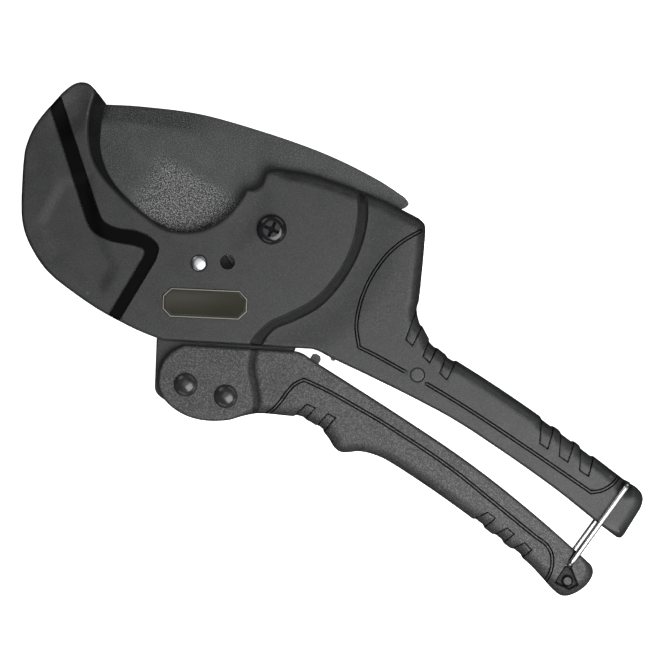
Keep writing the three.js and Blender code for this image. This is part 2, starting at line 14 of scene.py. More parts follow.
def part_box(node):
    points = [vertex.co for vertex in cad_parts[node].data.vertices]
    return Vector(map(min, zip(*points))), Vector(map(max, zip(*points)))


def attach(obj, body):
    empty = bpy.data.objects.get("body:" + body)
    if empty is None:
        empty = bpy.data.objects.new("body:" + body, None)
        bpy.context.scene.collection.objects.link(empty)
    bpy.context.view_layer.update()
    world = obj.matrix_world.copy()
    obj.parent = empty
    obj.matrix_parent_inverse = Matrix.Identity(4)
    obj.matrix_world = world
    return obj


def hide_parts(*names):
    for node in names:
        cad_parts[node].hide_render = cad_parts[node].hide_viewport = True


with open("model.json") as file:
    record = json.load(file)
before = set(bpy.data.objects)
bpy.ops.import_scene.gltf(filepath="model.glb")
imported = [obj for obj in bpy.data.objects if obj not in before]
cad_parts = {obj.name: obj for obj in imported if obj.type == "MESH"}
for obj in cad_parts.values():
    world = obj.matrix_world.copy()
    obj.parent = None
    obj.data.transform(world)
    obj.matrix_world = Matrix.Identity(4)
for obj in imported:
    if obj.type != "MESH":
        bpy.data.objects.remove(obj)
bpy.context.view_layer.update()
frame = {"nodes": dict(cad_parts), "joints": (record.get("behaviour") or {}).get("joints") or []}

# Tool coordinates are millimetres in the row's axes, with the blade's pivot at BLADE_AXIS and z = 0 in
# the middle of the thickness. Every shape below is drawn in them, about the axes that the frame gives.
MM = 0.001
BLADE_AXIS = (0.4, 0.4)
NODES = frame["nodes"]
JOINTS = {joint["name"]: joint for joint in frame["joints"]}
ZERO = np.array(JOINTS["blade_swing"]["pos_m"]) - np.array([*BLADE_AXIS, 0.0]) * MM

# Distances from the middle plane: the faces of the cheeks, the handles and the tongue, and those of the
# slot, the blade and the gap between the lower handle's ears
HEAD_TOP = 9.0
GRIP_TOP = 10.0
LUG_TOP = 5.0
SLOT_HALF = 1.9
BLADE_HALF = 1.4
EAR_GAP_HALF = 5.4

# Where the castings' CAD nodes are cut for their outlines
LOW_SLICE = 2.6
HIGH_SLICE = 7.5
LOWER_SLICE = 8.0

# Width and drop of a rim's rounded edge, where it is crisp and where it is soft
RIM_CRISP = (1.0, 1.4)
RIM_SOFT = (4.4, 5.4)

# Rows of points beside a rim, the spacing of the points over a face, and the sides of a round piece
RIM_ROWS = (0.35, 0.65, 1.0, 1.5, 2.2, 3.0)
GRID = 1.0
ROW_PITCH = 0.866
ROUND_SIDES = 72

# An outline's facets are taken for one curve where two turns are closer than CLOSE_TURNS and neither is
# sharper than CURVE_TURN. Elsewhere a turn sharper than CORNER_TURN is a corner.
CLOSE_TURNS = 5.2
CURVE_TURN = math.radians(80)
CORNER_TURN = math.radians(33)
STRAIGHT_TURN = 1e-3
LONG_NEIGHBOUR = 3.5

# Edges of the finished meshes sharper than this are shaded as creases
CREASE_ANGLE = math.radians(38)

# Vertices closer than these are one, in metres
WELD = 1e-6
FINE_WELD = 1e-7


def joint_axis(name):
    return tuple(((np.array(JOINTS[name]["pos_m"]) - ZERO) / MM)[:2])


def node_box(name):
    low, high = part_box(name)
    return (np.array(low) - ZERO) / MM, (np.array(high) - ZERO) / MM


def node_axis(name):
    low, high = node_box(name)
    return tuple(((low + high) / 2)[:2])


# ---------------------------------------------------------------- outlines


def slice_loops(node, height):
    """The closed outlines that the plane z = height cuts from a CAD node, the longest first."""
    cut = bmesh.new()
    cut.from_mesh(NODES[node].data)
    bmesh.ops.remove_doubles(cut, verts=cut.verts, dist=WELD)
    bmesh.ops.bisect_plane(
        cut,
        geom=[*cut.verts, *cut.edges, *cut.faces],
        plane_co=(0, 0, ZERO[2] + height * MM),
        plane_no=(0, 0, 1),
        clear_outer=True,
        clear_inner=True,
    )
    bmesh.ops.remove_doubles(cut, verts=cut.verts, dist=WELD)
    loops = []
    left = dict.fromkeys(cut.edges)
    while left:
        edge = next(iter(left))
        del left[edge]
        start, at = edge.verts
        loop = [start]
        while at is not start:
            loop.append(at)
            edge = next(e for e in at.link_edges if e in left)
            del left[edge]
            at = edge.other_vert(at)
        loops.append((np.array([v.co[:] for v in loop])[:, :2] - ZERO[:2]) / MM)
    cut.free()
    return sorted((counterclockwise(loop) for loop in loops), key=len, reverse=True)


def counterclockwise(loop):
    x, y = loop.T
    area = np.sum(x * np.roll(y, -1) - np.roll(x, -1) * y)
    return loop if area > 0 else loop[::-1]


def turns_of(loop):
    before = loop - np.roll(loop, 1, 0)
    after = np.roll(loop, -1, 0) - loop
    cross = before[:, 0] * after[:, 1] - before[:, 1] * after[:, 0]
    dot = (before * after).sum(1)
    return np.abs(np.arctan2(cross, dot))


def smooth_loop(loop, step=0.8, corner=CORNER_TURN):
    """A closed outline with its facets turned into smooth curves.

    A turn sharper than corner stays, unless it is one of a row of close turns.
    """
    loop = loop[turns_of(loop) > STRAIGHT_TURN]
    turns = turns_of(loop)
    after = np.roll(loop, -1, 0) - loop
    length = np.hypot(*after.T)
    unit = after / length[:, None]
    count = len(loop)
    in_a_row = (length < CLOSE_TURNS) & (np.roll(length, 1) < CLOSE_TURNS) & (turns < CURVE_TURN)
    turns = np.where(in_a_row, 0, turns)
    points = []
    for i in range(count):
        j = (i + 1) % count
        start = unit[i] if turns[i] > corner else tangent_at(unit, length, i)
        end = unit[i] if turns[j] > corner else tangent_at(unit, length, j)
        points += curve_between(loop[i], loop[j], start, end, length[i], step)
    return np.array(points)


def tangent_at(unit, length, i):
    """The direction of a smooth curve through point i: a much longer neighbour is a straight run."""
    if length[i - 1] > LONG_NEIGHBOUR * length[i]:
        return unit[i - 1]
    if length[i] > LONG_NEIGHBOUR * length[i - 1]:
        return unit[i]
    return mean_direction(unit, length, i)


def mean_direction(unit, length, i):
    mixed = unit[i - 1] * length[i] + unit[i] * length[i - 1]
    return mixed / np.hypot(*mixed)


def curve_between(a, b, start, end, size, step):
    """Points from a up to b, but without b, on a curve that leaves along start and arrives along end."""
    pieces = max(1, round(size / step))
    return [hermite(a, start * size, b, end * size, k / pieces) for k in range(pieces)]


def hermite(a, da, b, db, t):
    return (
        a * (2 * t**3 - 3 * t**2 + 1)
        + da * (t**3 - 2 * t**2 + t)
        + b * (3 * t**2 - 2 * t**3)
        + db * (t**3 - t**2)
    )


def curve_through(points, step=0.6):
    """A smooth open curve through a few points."""
    points = np.array(points, float)
    ahead = np.diff(points, axis=0)
    length = np.hypot(*ahead.T)
    unit = ahead / length[:, None]
    inner = [mean_direction(unit, length, i) for i in range(1, len(points) - 1)]
    tangents = [unit[0], *inner, unit[-1]]
    made = []
    for i, size in enumerate(length):
        made += curve_between(points[i], points[i + 1], tangents[i], tangents[i + 1], size, step)
    return np.array([*made, points[-1]])


def path(*runs):
    """Smooth curves joined at corners: each run starts where the one before it ends."""
    made = curve_through(runs[0])
    for run in runs[1:]:
        made = np.vstack([made, curve_through([made[-1], *run])[1:]])
    return made


def closed(*runs):
    """The same as path, for an outline: its end joins its start."""
    return counterclockwise(path(*runs, [runs[0][0]])[:-1])


def circle(centre, radius, sides=ROUND_SIDES):
    angles = np.arange(sides) * 2 * math.pi / sides
    return np.array(centre) + radius * np.stack([np.cos(angles), np.sin(angles)], 1)


def dense(corners, step=0.5):
    """A straight-sided outline with points all along it."""
    corners = counterclockwise(np.array(corners, float))
    made = []
    for a, b in zip(corners, np.roll(corners, -1, 0)):
        pieces = max(1, round(np.hypot(*(b - a)) / step))
        made.extend(a + (b - a) * k / pieces for k in range(pieces))
    return np.array(made)


def normals_of(line, is_closed):
    """Unit normals to the right of a line's direction, so outwards on a counterclockwise outline."""
    if is_closed:
        along = np.roll(line, -1, 0) - np.roll(line, 1, 0)
    else:
        along = np.gradient(line, axis=0)
    along /= np.maximum(np.hypot(*along.T), 1e-9)[:, None]
    return np.stack([along[:, 1], -along[:, 0]], 1)


def offset(line, distance, is_closed=False):
    """The line moved to its right by distance."""
    return line + normals_of(line, is_closed) * distance


def rings_beside(outline, distances):
    """Lines all round an outline, at some distances outside it."""
    rings = [offset(outline, distance, True) for distance in distances]
    return [np.vstack([ring, ring[:1]]) for ring in rings]


# ---------------------------------------------------------------- measuring on the plan


def nearest_on(points, line, is_closed=False):
    """For each point: its distance to a line, the nearest segment and the share along that."""
    start = line if is_closed else line[:-1]
    run = (np.roll(line, -1, 0) if is_closed else line[1:]) - start
    square = np.maximum((run**2).sum(1), 1e-12)
    distance = np.empty(len(points))
    segment = np.empty(len(points), int)
    share = np.empty(len(points))
    for low in range(0, len(points), 1500):
        part = points[low : low + 1500, None] - start
        t = np.clip((part * run).sum(2) / square, 0, 1)
        far = np.hypot(*np.moveaxis(part - t[..., None] * run, 2, 0))
        best = far.argmin(1)
        rows = np.arange(len(best))
        distance[low : low + 1500] = far[rows, best]
        segment[low : low + 1500] = best
        share[low : low + 1500] = t[rows, best]
    return distance, segment, share


def inside(points, loop):
    found = np.zeros(len(points), bool)
    x, y = points.T
    for (x1, y1), (x2, y2) in zip(loop, np.roll(loop, -1, 0)):
        if y1 != y2:
            crosses = (y1 > y) != (y2 > y)
            found ^= crosses & (x < (x2 - x1) * (y - y1) / (y2 - y1) + x1)
    return found


def in_any(points, loops):
    return np.any([inside(points, loop) for loop in loops], 0)


def depth_in(points, loop):
    """How far inside a closed outline each point lies, below zero outside it."""
    distance = nearest_on(points, loop, True)[0]
    return np.where(inside(points, loop), distance, -distance)


def ramp(value, low, high):
    t = np.clip((value - low) / (high - low), 0, 1)
    return t * t * (3 - 2 * t)


def bowl(value, width):
    """1 where value is 0, falling smoothly to 0 at width on both sides."""
    return 1 - ramp(np.abs(value), 0, width)


def round_edge(distance, width, drop):
    """How far a rounded edge lies below the face it ends, distance in from the rim."""
    u = np.clip(1 - distance / width, 0, 1)
    return drop * (1 - np.sqrt(1 - u * u))


# ---------------------------------------------------------------- meshes


def in_scene(name, bm):
    """An object made from a mesh that is used up."""
    mesh = bpy.data.meshes.new(name)
    bm.to_mesh(mesh)
    bm.free()
    made = bpy.data.objects.new(name, mesh)
    bpy.context.scene.collection.objects.link(made)
    return made


def to_row(x, y, z):
    return (ZERO[0] + x * MM, ZERO[1] + y * MM, ZERO[2] + z * MM)


def plan_triangles(loops, lines, spots, solid):
    """Triangles over the part of the plan where solid(points) holds.

    loops are closed edges, lines are creases and spots are loose points, each with the room it needs.
    """
    points, edges = [], []
    for line, is_closed in [*((loop, True) for loop in loops), *((line, False) for line in lines)]:
        first = len(points)
        points.extend(line)
        edges.extend((first + k, first + k + 1) for k in range(len(line) - 1))
        if is_closed:
            edges.append((first + len(line) - 1, first))
    tree = KDTree(len(points))
    for index, (x, y) in enumerate(points):
        tree.insert((x, y, 0), index)
    tree.balance()
    for x, y, room in spots:
        if tree.find((x, y, 0))[2] > room:
            points.append((x, y))
    made = delaunay_2d_cdt([Vector(p) for p in points], edges, [], 0, 1e-5)
    plan = np.array([v[:] for v in made[0]])
    triangles = np.array(made[2])
    keep = solid(plan[triangles].mean(1))
    triangles = unpinched(plan, triangles[keep])
    used, index = np.unique(triangles, return_inverse=True)
    return plan[used], index.reshape(-1, 3)


def unpinched(plan, triangles):
    """The triangles without the small ones that touch the rest of the plan only at a corner."""
    while True:
        directed = {(t[k], t[(k + 1) % 3]) for t in triangles.tolist() for k in range(3)}
        leaving = Counter(i for i, j in directed if (j, i) not in directed)
        dropped = set()
        for corner in (i for i, times in leaving.items() if times > 1):
            fans = fans_at(corner, triangles)
            fans.sort(key=lambda fan: np.abs(areas_of(plan, triangles[list(fan)])).sum())
            dropped.update(*fans[:-1])
        if not dropped:
            return triangles
        triangles = np.delete(triangles, list(dropped), 0)


def fans_at(corner, triangles):
    """The triangles round a corner, in groups that hang together by their edges."""
    around = list(np.flatnonzero((triangles == corner).any(1)))
    fans = []
    while around:
        fan = {around.pop()}
        growing = True
        while growing:
            rim = {int(c) for n in fan for c in triangles[n]} - {corner}
            more = {n for n in around if rim & set(triangles[n].tolist())}
            fan |= more
            around = [n for n in around if n not in more]
            growing = bool(more)
        fans.append(fan)
    return fans


def areas_of(plan, triangles):
    """Twice each triangle's area, below zero where it runs clockwise."""
    a, b, c = (plan[triangles[:, k]] for k in range(3))
    return (b[:, 0] - a[:, 0]) * (c[:, 1] - a[:, 1]) - (c[:, 0] - a[:, 0]) * (b[:, 1] - a[:, 1])


def beyond(loop, inner, room=0.15):
    """The runs of a closed outline that lie outside an inner one. Their ends are tucked inside it."""
    away = depth_in(loop, inner) < -room
    first = int(np.argmin(away))
    loop, away = np.roll(loop, -first, 0), np.roll(away, -first)
    runs, run = [], []
    for point, is_away in zip(loop, away):
        if is_away:
            run.append(point)
        elif run:
            runs.append(np.array(run))
            run = []
    return [tucked(run, inner) for run in runs if len(run) > 3]


def tucked(run, inner, reach=0.3):
    """A run with each end led on to the nearest place on an outline and a little past it."""
    ends = []
    for end in (run[0], run[-1]):
        _, segment, share = nearest_on(end[None], inner, True)
        after = np.roll(inner, -1, 0)
        foot = inner[segment[0]] * (1 - share[0]) + after[segment[0]] * share[0]
        towards = foot - end
        ends.append(foot + towards / np.hypot(*towards) * reach)
    return np.vstack([ends[:1], run, ends[1:]])


def grid_spots(loop, spacing):
    """A triangular grid of points over an outline's box."""
    low, high = loop.min(0), loop.max(0)
    spots = []
    rows = int((high[1] - low[1]) / (spacing * ROW_PITCH)) + 1
    for row in range(rows):
        y = low[1] + row * spacing * ROW_PITCH
        for x in np.arange(low[0] + (row % 2) * spacing / 2, high[0], spacing):
            spots.append((x, y, spacing * 0.45))
    return spots


def rim_spots(loop, distances):
    """Points in rows beside an outline, for its rounded edge."""
    spots = []
    for distance in distances:
        row = offset(loop, -distance, True)
        away = nearest_on(row, loop, True)[0]
        for (x, y), far in zip(row, away):
            if far > distance * 0.97:
                spots.append((x, y, min(distance * 0.6, 0.12)))
    return spots


def clipped(line, loop, margin=0.06):
    """The stretches of an open line that lie inside an outline."""
    stretches = [[]]
    for point, depth in zip(line, depth_in(line, loop)):
        if depth > margin:
            stretches[-1].append(point)
        else:
            stretches.append([])
    return [np.array(stretch) for stretch in stretches if len(stretch) > 1]


def double_faced(plan, triangles, front, rear):
    """One closed solid between two faces over the same plan."""
    bm = bmesh.new()
    upper = [bm.verts.new(to_row(x, y, z)) for (x, y), z in zip(plan, front)]
    lower = [bm.verts.new(to_row(x, y, z)) for (x, y), z in zip(plan, rear)]
    directed = {}
    for (i, j, k), area in zip(triangles, areas_of(plan, triangles)):
        if area < 0:
            j, k = k, j
        bm.faces.new((upper[i], upper[j], upper[k]))
        bm.faces.new((lower[k], lower[j], lower[i]))
        directed.update(dict.fromkeys([(i, j), (j, k), (k, i)]))
    for i, j in directed:
        if (j, i) not in directed:
            bm.faces.new((upper[j], upper[i], lower[i], lower[j]))
    bm.normal_update()
    return bm


def slab(loops, low, high):
    """One solid over the union of several outlines, from z = low to z = high."""
    plan, triangles = plan_triangles(loops, [], [], lambda points: in_any(points, loops))
    return double_faced(plan, triangles, np.full(len(plan), high), np.full(len(plan), low))


def combine(bm, other, operation):
    """bm with another solid cut away from it or joined to it."""
    objects = []
    for source in (bm, other):
        bmesh.ops.triangulate(source, faces=source.faces)
        objects.append(in_scene("tool", source))
    modifier = objects[0].modifiers.new("tool", "BOOLEAN")
    modifier.operation = operation
    modifier.solver = "MANIFOLD"
    modifier.object = objects[1]
    result = bmesh.new()
    graph = bpy.context.evaluated_depsgraph_get()
    result.from_mesh(objects[0].evaluated_get(graph).to_mesh())
    for thing in objects:
        mesh = thing.data
        bpy.data.objects.remove(thing)
        bpy.data.meshes.remove(mesh)
    bmesh.ops.dissolve_degenerate(result, dist=FINE_WELD, edges=result.edges)
    return result


def turned(profile, axis):
    """A solid of revolution from a profile of (radius, z), from the lowest point to the highest."""
    bm = bmesh.new()
    rings = []
    for radius, z in profile:
        if radius == 0:
            rings.append([bm.verts.new(to_row(*axis, z))])
        else:
            rings.append([bm.verts.new(to_row(x, y, z)) for x, y in circle(axis, radius)])
    for low, high in zip(rings, rings[1:]):
        for k in range(ROUND_SIDES):
            n = (k + 1) % ROUND_SIDES
            corners = [low[k % len(low)], low[n % len(low)], high[n % len(high)], high[k % len(high)]]
            bm.faces.new(list(dict.fromkeys(corners)))
    bm.normal_update()
    return bm


def walls(bm, rings):
    """Faces between rings of vertices that lie one after another."""
    for one, two in zip(rings, rings[1:]):
        for k in range(len(one)):
            n = (k + 1) % len(one)
            bm.faces.new((one[k], one[n], two[n], two[k]))


def capped(bm, rings):
    """The same with a flat cap at each end."""
    walls(bm, rings)
    bm.faces.new(rings[0][::-1])
    bm.faces.new(rings[-1])
    bm.normal_update()
    return bm


def eased(piece, width):
    """Small rounded edges on a piece's corners."""
    bevel = piece.modifiers.new("bevel", "BEVEL")
    bevel.width = width * MM
    bevel.segments = 2
    bevel.limit_method = "ANGLE"
    bevel.angle_limit = math.radians(40)


def paint_faces(piece, index, zone):
    """Gives one of the piece's materials to the faces where zone(plan, height) holds at their middles."""
    middles = (np.array([polygon.center[:] for polygon in piece.data.polygons]) - ZERO) / MM
    for polygon in np.array(piece.data.polygons)[zone(middles[:, :2], middles[:, 2])]:
        polygon.material_index = index


# ---------------------------------------------------------------- body casting

# The straight and bent stretches of the black channel on the jaw, and the curved channel of the cheek
ZIGZAG = closed(
    [(-97, 7.4), (-58.3, -25.4)],
    [(-53.3, -28.8), (-47.5, -28.3), (-41.7, -25.8), (-35.8, -25), (-31.5, -26.4), (-29.8, -31)],
    [(-29.6, -62)],
    [(-34, -62)],
    [(-34.3, -32.5)],
    [(-35.2, -30.2), (-38.3, -30.3), (-43.3, -32.1), (-48.3, -33.8), (-55, -34), (-58.3, -32.3)],
    [(-97, 1)],
)
ARC_LEFT = path(
    [(14, 35), (18.6, 29.8), (24.6, 21), (28.6, 8.5), (28.9, -3), (26.4, -14), (21.4, -22.5), (17.2, -29),
     (15.6, -35), (15.6, -44)]
)
ARC_RIGHT = path(
    [(18, 36), (22, 30.5), (27.6, 22), (31.6, 9), (31.9, -3), (29.3, -15), (24, -24), (19.8, -30),
     (18.9, -39), (18.9, -44)]
)
ARC = counterclockwise(np.vstack([ARC_LEFT, ARC_RIGHT[::-1]]))

# The fine double lines round the grip, along their middle
GRIP_LINES = [
    path(
        [(46.6, 28.2), (43, 21.4), (40.9, 15), (40.1, 7.9), (40.4, 0.7), (41.9, -6.4), (44.8, -13.4),
         (49.6, -19.4)],
        [(55, -18.9), (68.2, -18.3)],
    ),
    path(
        [(77.5, -17.9), (90, -17.8), (120, -18.8), (140, -19.8), (148.8, -20.3)],
        [(151.6, -17.8), (153.7, -14), (154.6, -9)],
    ),
]

# Slanted pockets in the grip, as their two lower corners and two points past the handle's edge
UPPER_NOTCHES = [dense(corners) for corners in (
    [(62.5, -8.3), (66, -9), (65, 3), (59.5, 7)],
    [(71, -10.2), (74.5, -11), (73.6, 0), (69, 2)],
    [(79.3, -12.2), (83, -13), (82, -2), (77.6, -1)],
    [(123.5, -15), (127.3, -15.2), (124, -3), (117.6, -3)],
    [(132, -15.3), (136, -15.5), (133.4, -4), (126.4, -4)],
    [(141, -15.8), (145, -15.9), (141.9, -4.6), (134.9, -4.4)],
)]
LOWER_NOTCHES = [dense(corners) for corners in (
    [(44.1, -46.8), (47.7, -46.3), (46.2, -55), (42.2, -55)],
    [(52.4, -45.8), (55.8, -45.5), (54.4, -55), (50.8, -55)],
    [(120.4, -46), (124.2, -46.3), (121.3, -56), (115.6, -55)],
    [(129.5, -47.1), (133, -47.7), (130, -57), (124.6, -56)],
    [(137.7, -48.3), (141.5, -49.2), (138.4, -59), (132.8, -57)],
)]
NOTCH_DEPTH = 0.55
NOTCH_DIP = 0.65
NOTCH_CREASES = (0.15, -0.1, -0.4)

LINE_HALF_GAP = 0.5
LINE_HALF_WIDTH = 0.27
LINE_DEPTH = 0.55

# The channels' creases, the zig-zag's from its edge and the arc's from each of its sides
CHANNEL_DEPTH = 1.2
ZIGZAG_EDGE = dense(ZIGZAG, 0.8)
ZIGZAG_CREASES = (0.3, 0.0, -0.35)
ARC_CREASES = (-0.45, 0.0, 0.45)

# A corner between the cheeks and the tongue that is filled, how much closer the body's holes are to their
# pins than in the CAD, and how far the lips of the mouth fall towards the slot
TONGUE_ROOT = np.array([(0, -45.5), (0, -48.5), (9.7, -47.5), (9.7, -41.5)])
PIN_GAP = 0.27
LIP_DROP = 5.0


def fine_lines(plan, lines, notches):
    """Where the fine grooves run, and the pressed borders of the pockets: the faces that are painted dark
    as shade.
    """
    found = np.zeros(len(plan), bool)
    for line in lines:
        found |= np.abs(nearest_on(plan, line)[0] - LINE_HALF_GAP) < LINE_HALF_WIDTH * 0.75
    for notch in notches:
        depth = depth_in(plan, notch)
        found |= (depth > -0.15) & (depth < 0.3)
    return found


def notched(loop, notches):
    """An outline pulled in a little where a pocket runs out over the handle's edge."""
    pull = np.zeros(len(loop))
    for notch in notches:
        pull = np.maximum(pull, NOTCH_DIP * ramp(depth_in(loop, notch), -0.3, 0.7))
    return loop - normals_of(loop, True) * pull[:, None]


def pocket_drop(points, notches):
    """Pockets with a fine line pressed round their border."""
    drop = np.zeros(len(points))
    for notch in notches:
        depth = depth_in(points, notch)
        drop = np.maximum(drop, NOTCH_DEPTH * ramp(depth, -0.15, 0.25))
        drop += 0.3 * bowl(depth - 0.1, 0.35)
    return drop


def line_drop(points, lines):
    """Two fine grooves side by side, which meet round the line's ends."""
    drop = np.zeros(len(points))
    for line in lines:
        away = nearest_on(points, line)[0] - LINE_HALF_GAP
        groove = np.clip(1 - np.abs(away) / LINE_HALF_WIDTH, 0, 1)
        drop = np.maximum(drop, LINE_DEPTH * groove)
    return drop


def groove_creases(lines):
    return [
        offset(line, side * (LINE_HALF_GAP + step * LINE_HALF_WIDTH))
        for line in lines
        for side in (-1, 1)
        for step in (-1, 0, 1)
    ]


def notch_creases(notches):
    return [ring for notch in notches for ring in rings_beside(notch, NOTCH_CREASES)]


def along_rim(loop, values):
    """Values at an outline's points, evened out so that they change gently along it."""
    kernel = np.hanning(13)
    kernel /= kernel.sum()
    padded = np.concatenate([values[-6:], values, values[:6]])
    return np.convolve(padded, kernel, "valid")


def rim_drop(points, loop, softness):
    """The drop of a rim that is crisp where softness is 0 and widely rounded where it is 1."""
    distance, segment, share = nearest_on(points, loop, True)
    after = np.roll(softness, -1)
    here = softness[segment] * (1 - share) + after[segment] * share
    width, drop = (crisp + (soft - crisp) * here for crisp, soft in zip(RIM_CRISP, RIM_SOFT))
    return round_edge(distance, width, drop)


def body_softness(loop):
    """1 along the top of the cheek, the neck and the grip, 0 round the jaw and along the underside."""
    x, y = loop.T
    nx, ny = normals_of(loop, True).T
    top = ramp(ny, -0.15, 0.35) * ramp(x, -13, -7)
    end = ramp(x, 159, 163) * ramp(nx, -0.2, 0.2)
    return along_rim(loop, np.maximum(top, end))


def jaw_dishes(points):
    """The shallow dish on the jaw's lobe, the hollow between the mouth and the screw, and the thin tip."""
    x, y = points.T
    lobe = dense([(-74.5, -24), (-66, -17), (-52, -33), (-40, -40), (-40, -52), (-62, -50), (-73, -42)], 2)
    dish = 0.5 * ramp(depth_in(points, lobe), -1.5, 3.5)
    hollow = 0.35 * bowl(np.hypot((x + 10) / 9, (y - 1) / 17), 1.0)
    tip = 0.8 * ramp(-np.hypot((x + 84) / 7, (y + 1) / 12), -1.1, -0.2)
    return dish + hollow + tip


def body_casting():
    union = slice_loops("body_casting", -LOW_SLICE)
    cheek = softened(smooth_loop(slice_loops("body_casting", HIGH_SLICE)[0]), near_step)
    cheek = notched(cheek, UPPER_NOTCHES)
    outer = smooth_loop(union[0])
    pawl_pin = node_axis("holding_pawl_pin")
    holes = []
    for loop in union[1:]:
        middle = loop.mean(0)
        if np.hypot(*(middle - pawl_pin)) > 3 and not inside(middle[None], TONGUE_ROOT)[0]:
            holes.append(offset(smooth_loop(loop, 0.4), -PIN_GAP, True))

    def solid(points):
        kept = inside(points, cheek) | inside(points, TONGUE_ROOT)
        kept |= inside(points, outer) & (in_mouth(points) | under_cheek(points))
        return kept & ~in_any(points, holes)

    spots = rim_spots(cheek, RIM_ROWS) + grid_spots(outer, GRID)
    for hole in holes:
        spots += [(x, y, 0.1) for step in (0.25, 0.5) for x, y in offset(hole, step, True)]
    plan, triangles = plan_triangles([cheek, *holes], body_creases(cheek, outer), spots, solid)

    # Outside the cheek's outline lie the lips of the mouth, which slope towards the slot, and the tongue
    depth = depth_in(plan, cheek)
    to_outer = nearest_on(plan, outer, True)[0]
    share = np.clip(-depth / np.maximum(to_outer - depth, 1e-6), 0, 1)
    lip = HEAD_TOP - RIM_CRISP[1] - LIP_DROP * share**0.8
    lug = LUG_TOP - round_edge(to_outer, 0.6, 0.6)
    face = cheek_face(plan, depth, cheek, holes)
    front = np.where(depth > -0.02, face, np.where(in_mouth(plan), lip, lug))
    bm = double_faced(plan, triangles, front, -front)
    for hollow in slot_solids(pawl_pin):
        bm = combine(bm, hollow, "DIFFERENCE")
    return bm


def body_creases(cheek, outer):
    lines = rings_beside(cheek, [-0.1])
    lines += [offset(ARC_LEFT, -step) for step in ARC_CREASES]
    lines += [offset(ARC_RIGHT, step) for step in ARC_CREASES]
    lines += rings_beside(ZIGZAG_EDGE, ZIGZAG_CREASES)
    lines += groove_creases(GRIP_LINES) + notch_creases(UPPER_NOTCHES)
    creases = [part for line in lines for part in clipped(line, cheek)]
    for run in beyond(outer, cheek):
        creases += [run, offset(run, -0.4)[2:-2]]
    foot = offset(cheek, 0.08, True)
    return creases + [part for part in clipped(foot, outer) if under_cheek(part).all()]


def cheek_face(plan, depth, cheek, holes):
    """The height of the cheek and the grip over the plan, with all their relief."""
    right_of_arc = counterclockwise(np.vstack([ARC_RIGHT, [(200, -44), (200, 36)]]))
    past_arc = nearest_on(plan, ARC_RIGHT)[0] * np.where(inside(plan, right_of_arc), 1, -1)
    face = HEAD_TOP + (GRIP_TOP - HEAD_TOP) * ramp(past_arc, 0, 16)
    channels = np.maximum(
        CHANNEL_DEPTH * ramp(depth_in(plan, ZIGZAG_EDGE), -0.3, 0.35),
        CHANNEL_DEPTH * ramp(depth_in(plan, ARC), -0.45, 0.45),
    )
    face = face - channels - jaw_dishes(plan) * (depth > 0)
    face = face - line_drop(plan, GRIP_LINES) - pocket_drop(plan, UPPER_NOTCHES)
    for hole in holes:
        face -= 0.6 * (1 - ramp(nearest_on(plan, hole, True)[0], 0, 0.5))
    return np.maximum(face - rim_drop(plan, cheek, body_softness(cheek)), SLOT_HALF + 0.4)


def near_step(points):
    """The small rounded step at the upper end of the mouth."""
    return (np.abs(points[:, 0] + 13) < 4) & (np.abs(points[:, 1] - 12) < 9)


def softened(loop, zone, rounds=2):
    """An outline with its corners rounded wherever zone(points) holds."""
    chosen = zone(loop)[:, None]
    for _ in range(rounds):
        evened = (np.roll(loop, 1, 0) + 2 * loop + np.roll(loop, -1, 0)) / 4
        loop = np.where(chosen, evened, loop)
    return loop


def in_mouth(points):
    return (points[:, 0] < -30) & (points[:, 1] > -26)


def under_cheek(points):
    x, y = points.T
    return (x > -17) & (x < 32) & (y < -28 - 0.5 * (30 - x))


# The room in the slot for the blade's teeth and for its tail, about the blade's pivot, in degrees from +X
TEETH_REACH = 36.3
TAIL_REACH = 51.6
TAIL_SWEEP = range(-25, 56, 2)


def slot_solids(pawl_pin):
    """The slot between the cheeks, the hole beside the stop pin, and the hollows for pin and spring."""
    jaw = closed(
        [(-79.9, 14), (-79.9, 6)],
        [(-79.1, -1.5), (-75.7, -9.4), (-69, -16.5), (-59.6, -21.3), (-48.3, -24.2), (-37, -25),
         (-28.2, -23.7), (-20.5, -19.4), (-14, -13)],
        [(-5, 26)],
        [(-60, 26)],
    )
    turns = np.radians(TAIL_SWEEP)
    sweep = BLADE_AXIS + TAIL_REACH * np.stack([np.cos(turns), np.sin(turns)], 1)
    tail = np.array([BLADE_AXIS, *sweep])
    pawls = dense([(9.8, -20), (9.8, -48), (46.6, -32), (46.6, -21.2), (42, -14), (34, -4)], 4)
    spring = dense([(34, -23.2), (72.9, -19), (72.9, -14.9), (34, -19.1)], 4)
    slot = [jaw, circle(BLADE_AXIS, TEETH_REACH, 120), tail, pawls, spring]
    return [
        slab(slot, -SLOT_HALF, SLOT_HALF),
        slab([circle((-7.1, -18), 2.75, 48)], 0, 14),
        slab([circle(pawl_pin, 1.7, 32)], -14, -1),
        slab([circle(joint_axis("handle_swing"), 7.2, 64)], 2.2, 8),
    ]


# ---------------------------------------------------------------- lower handle

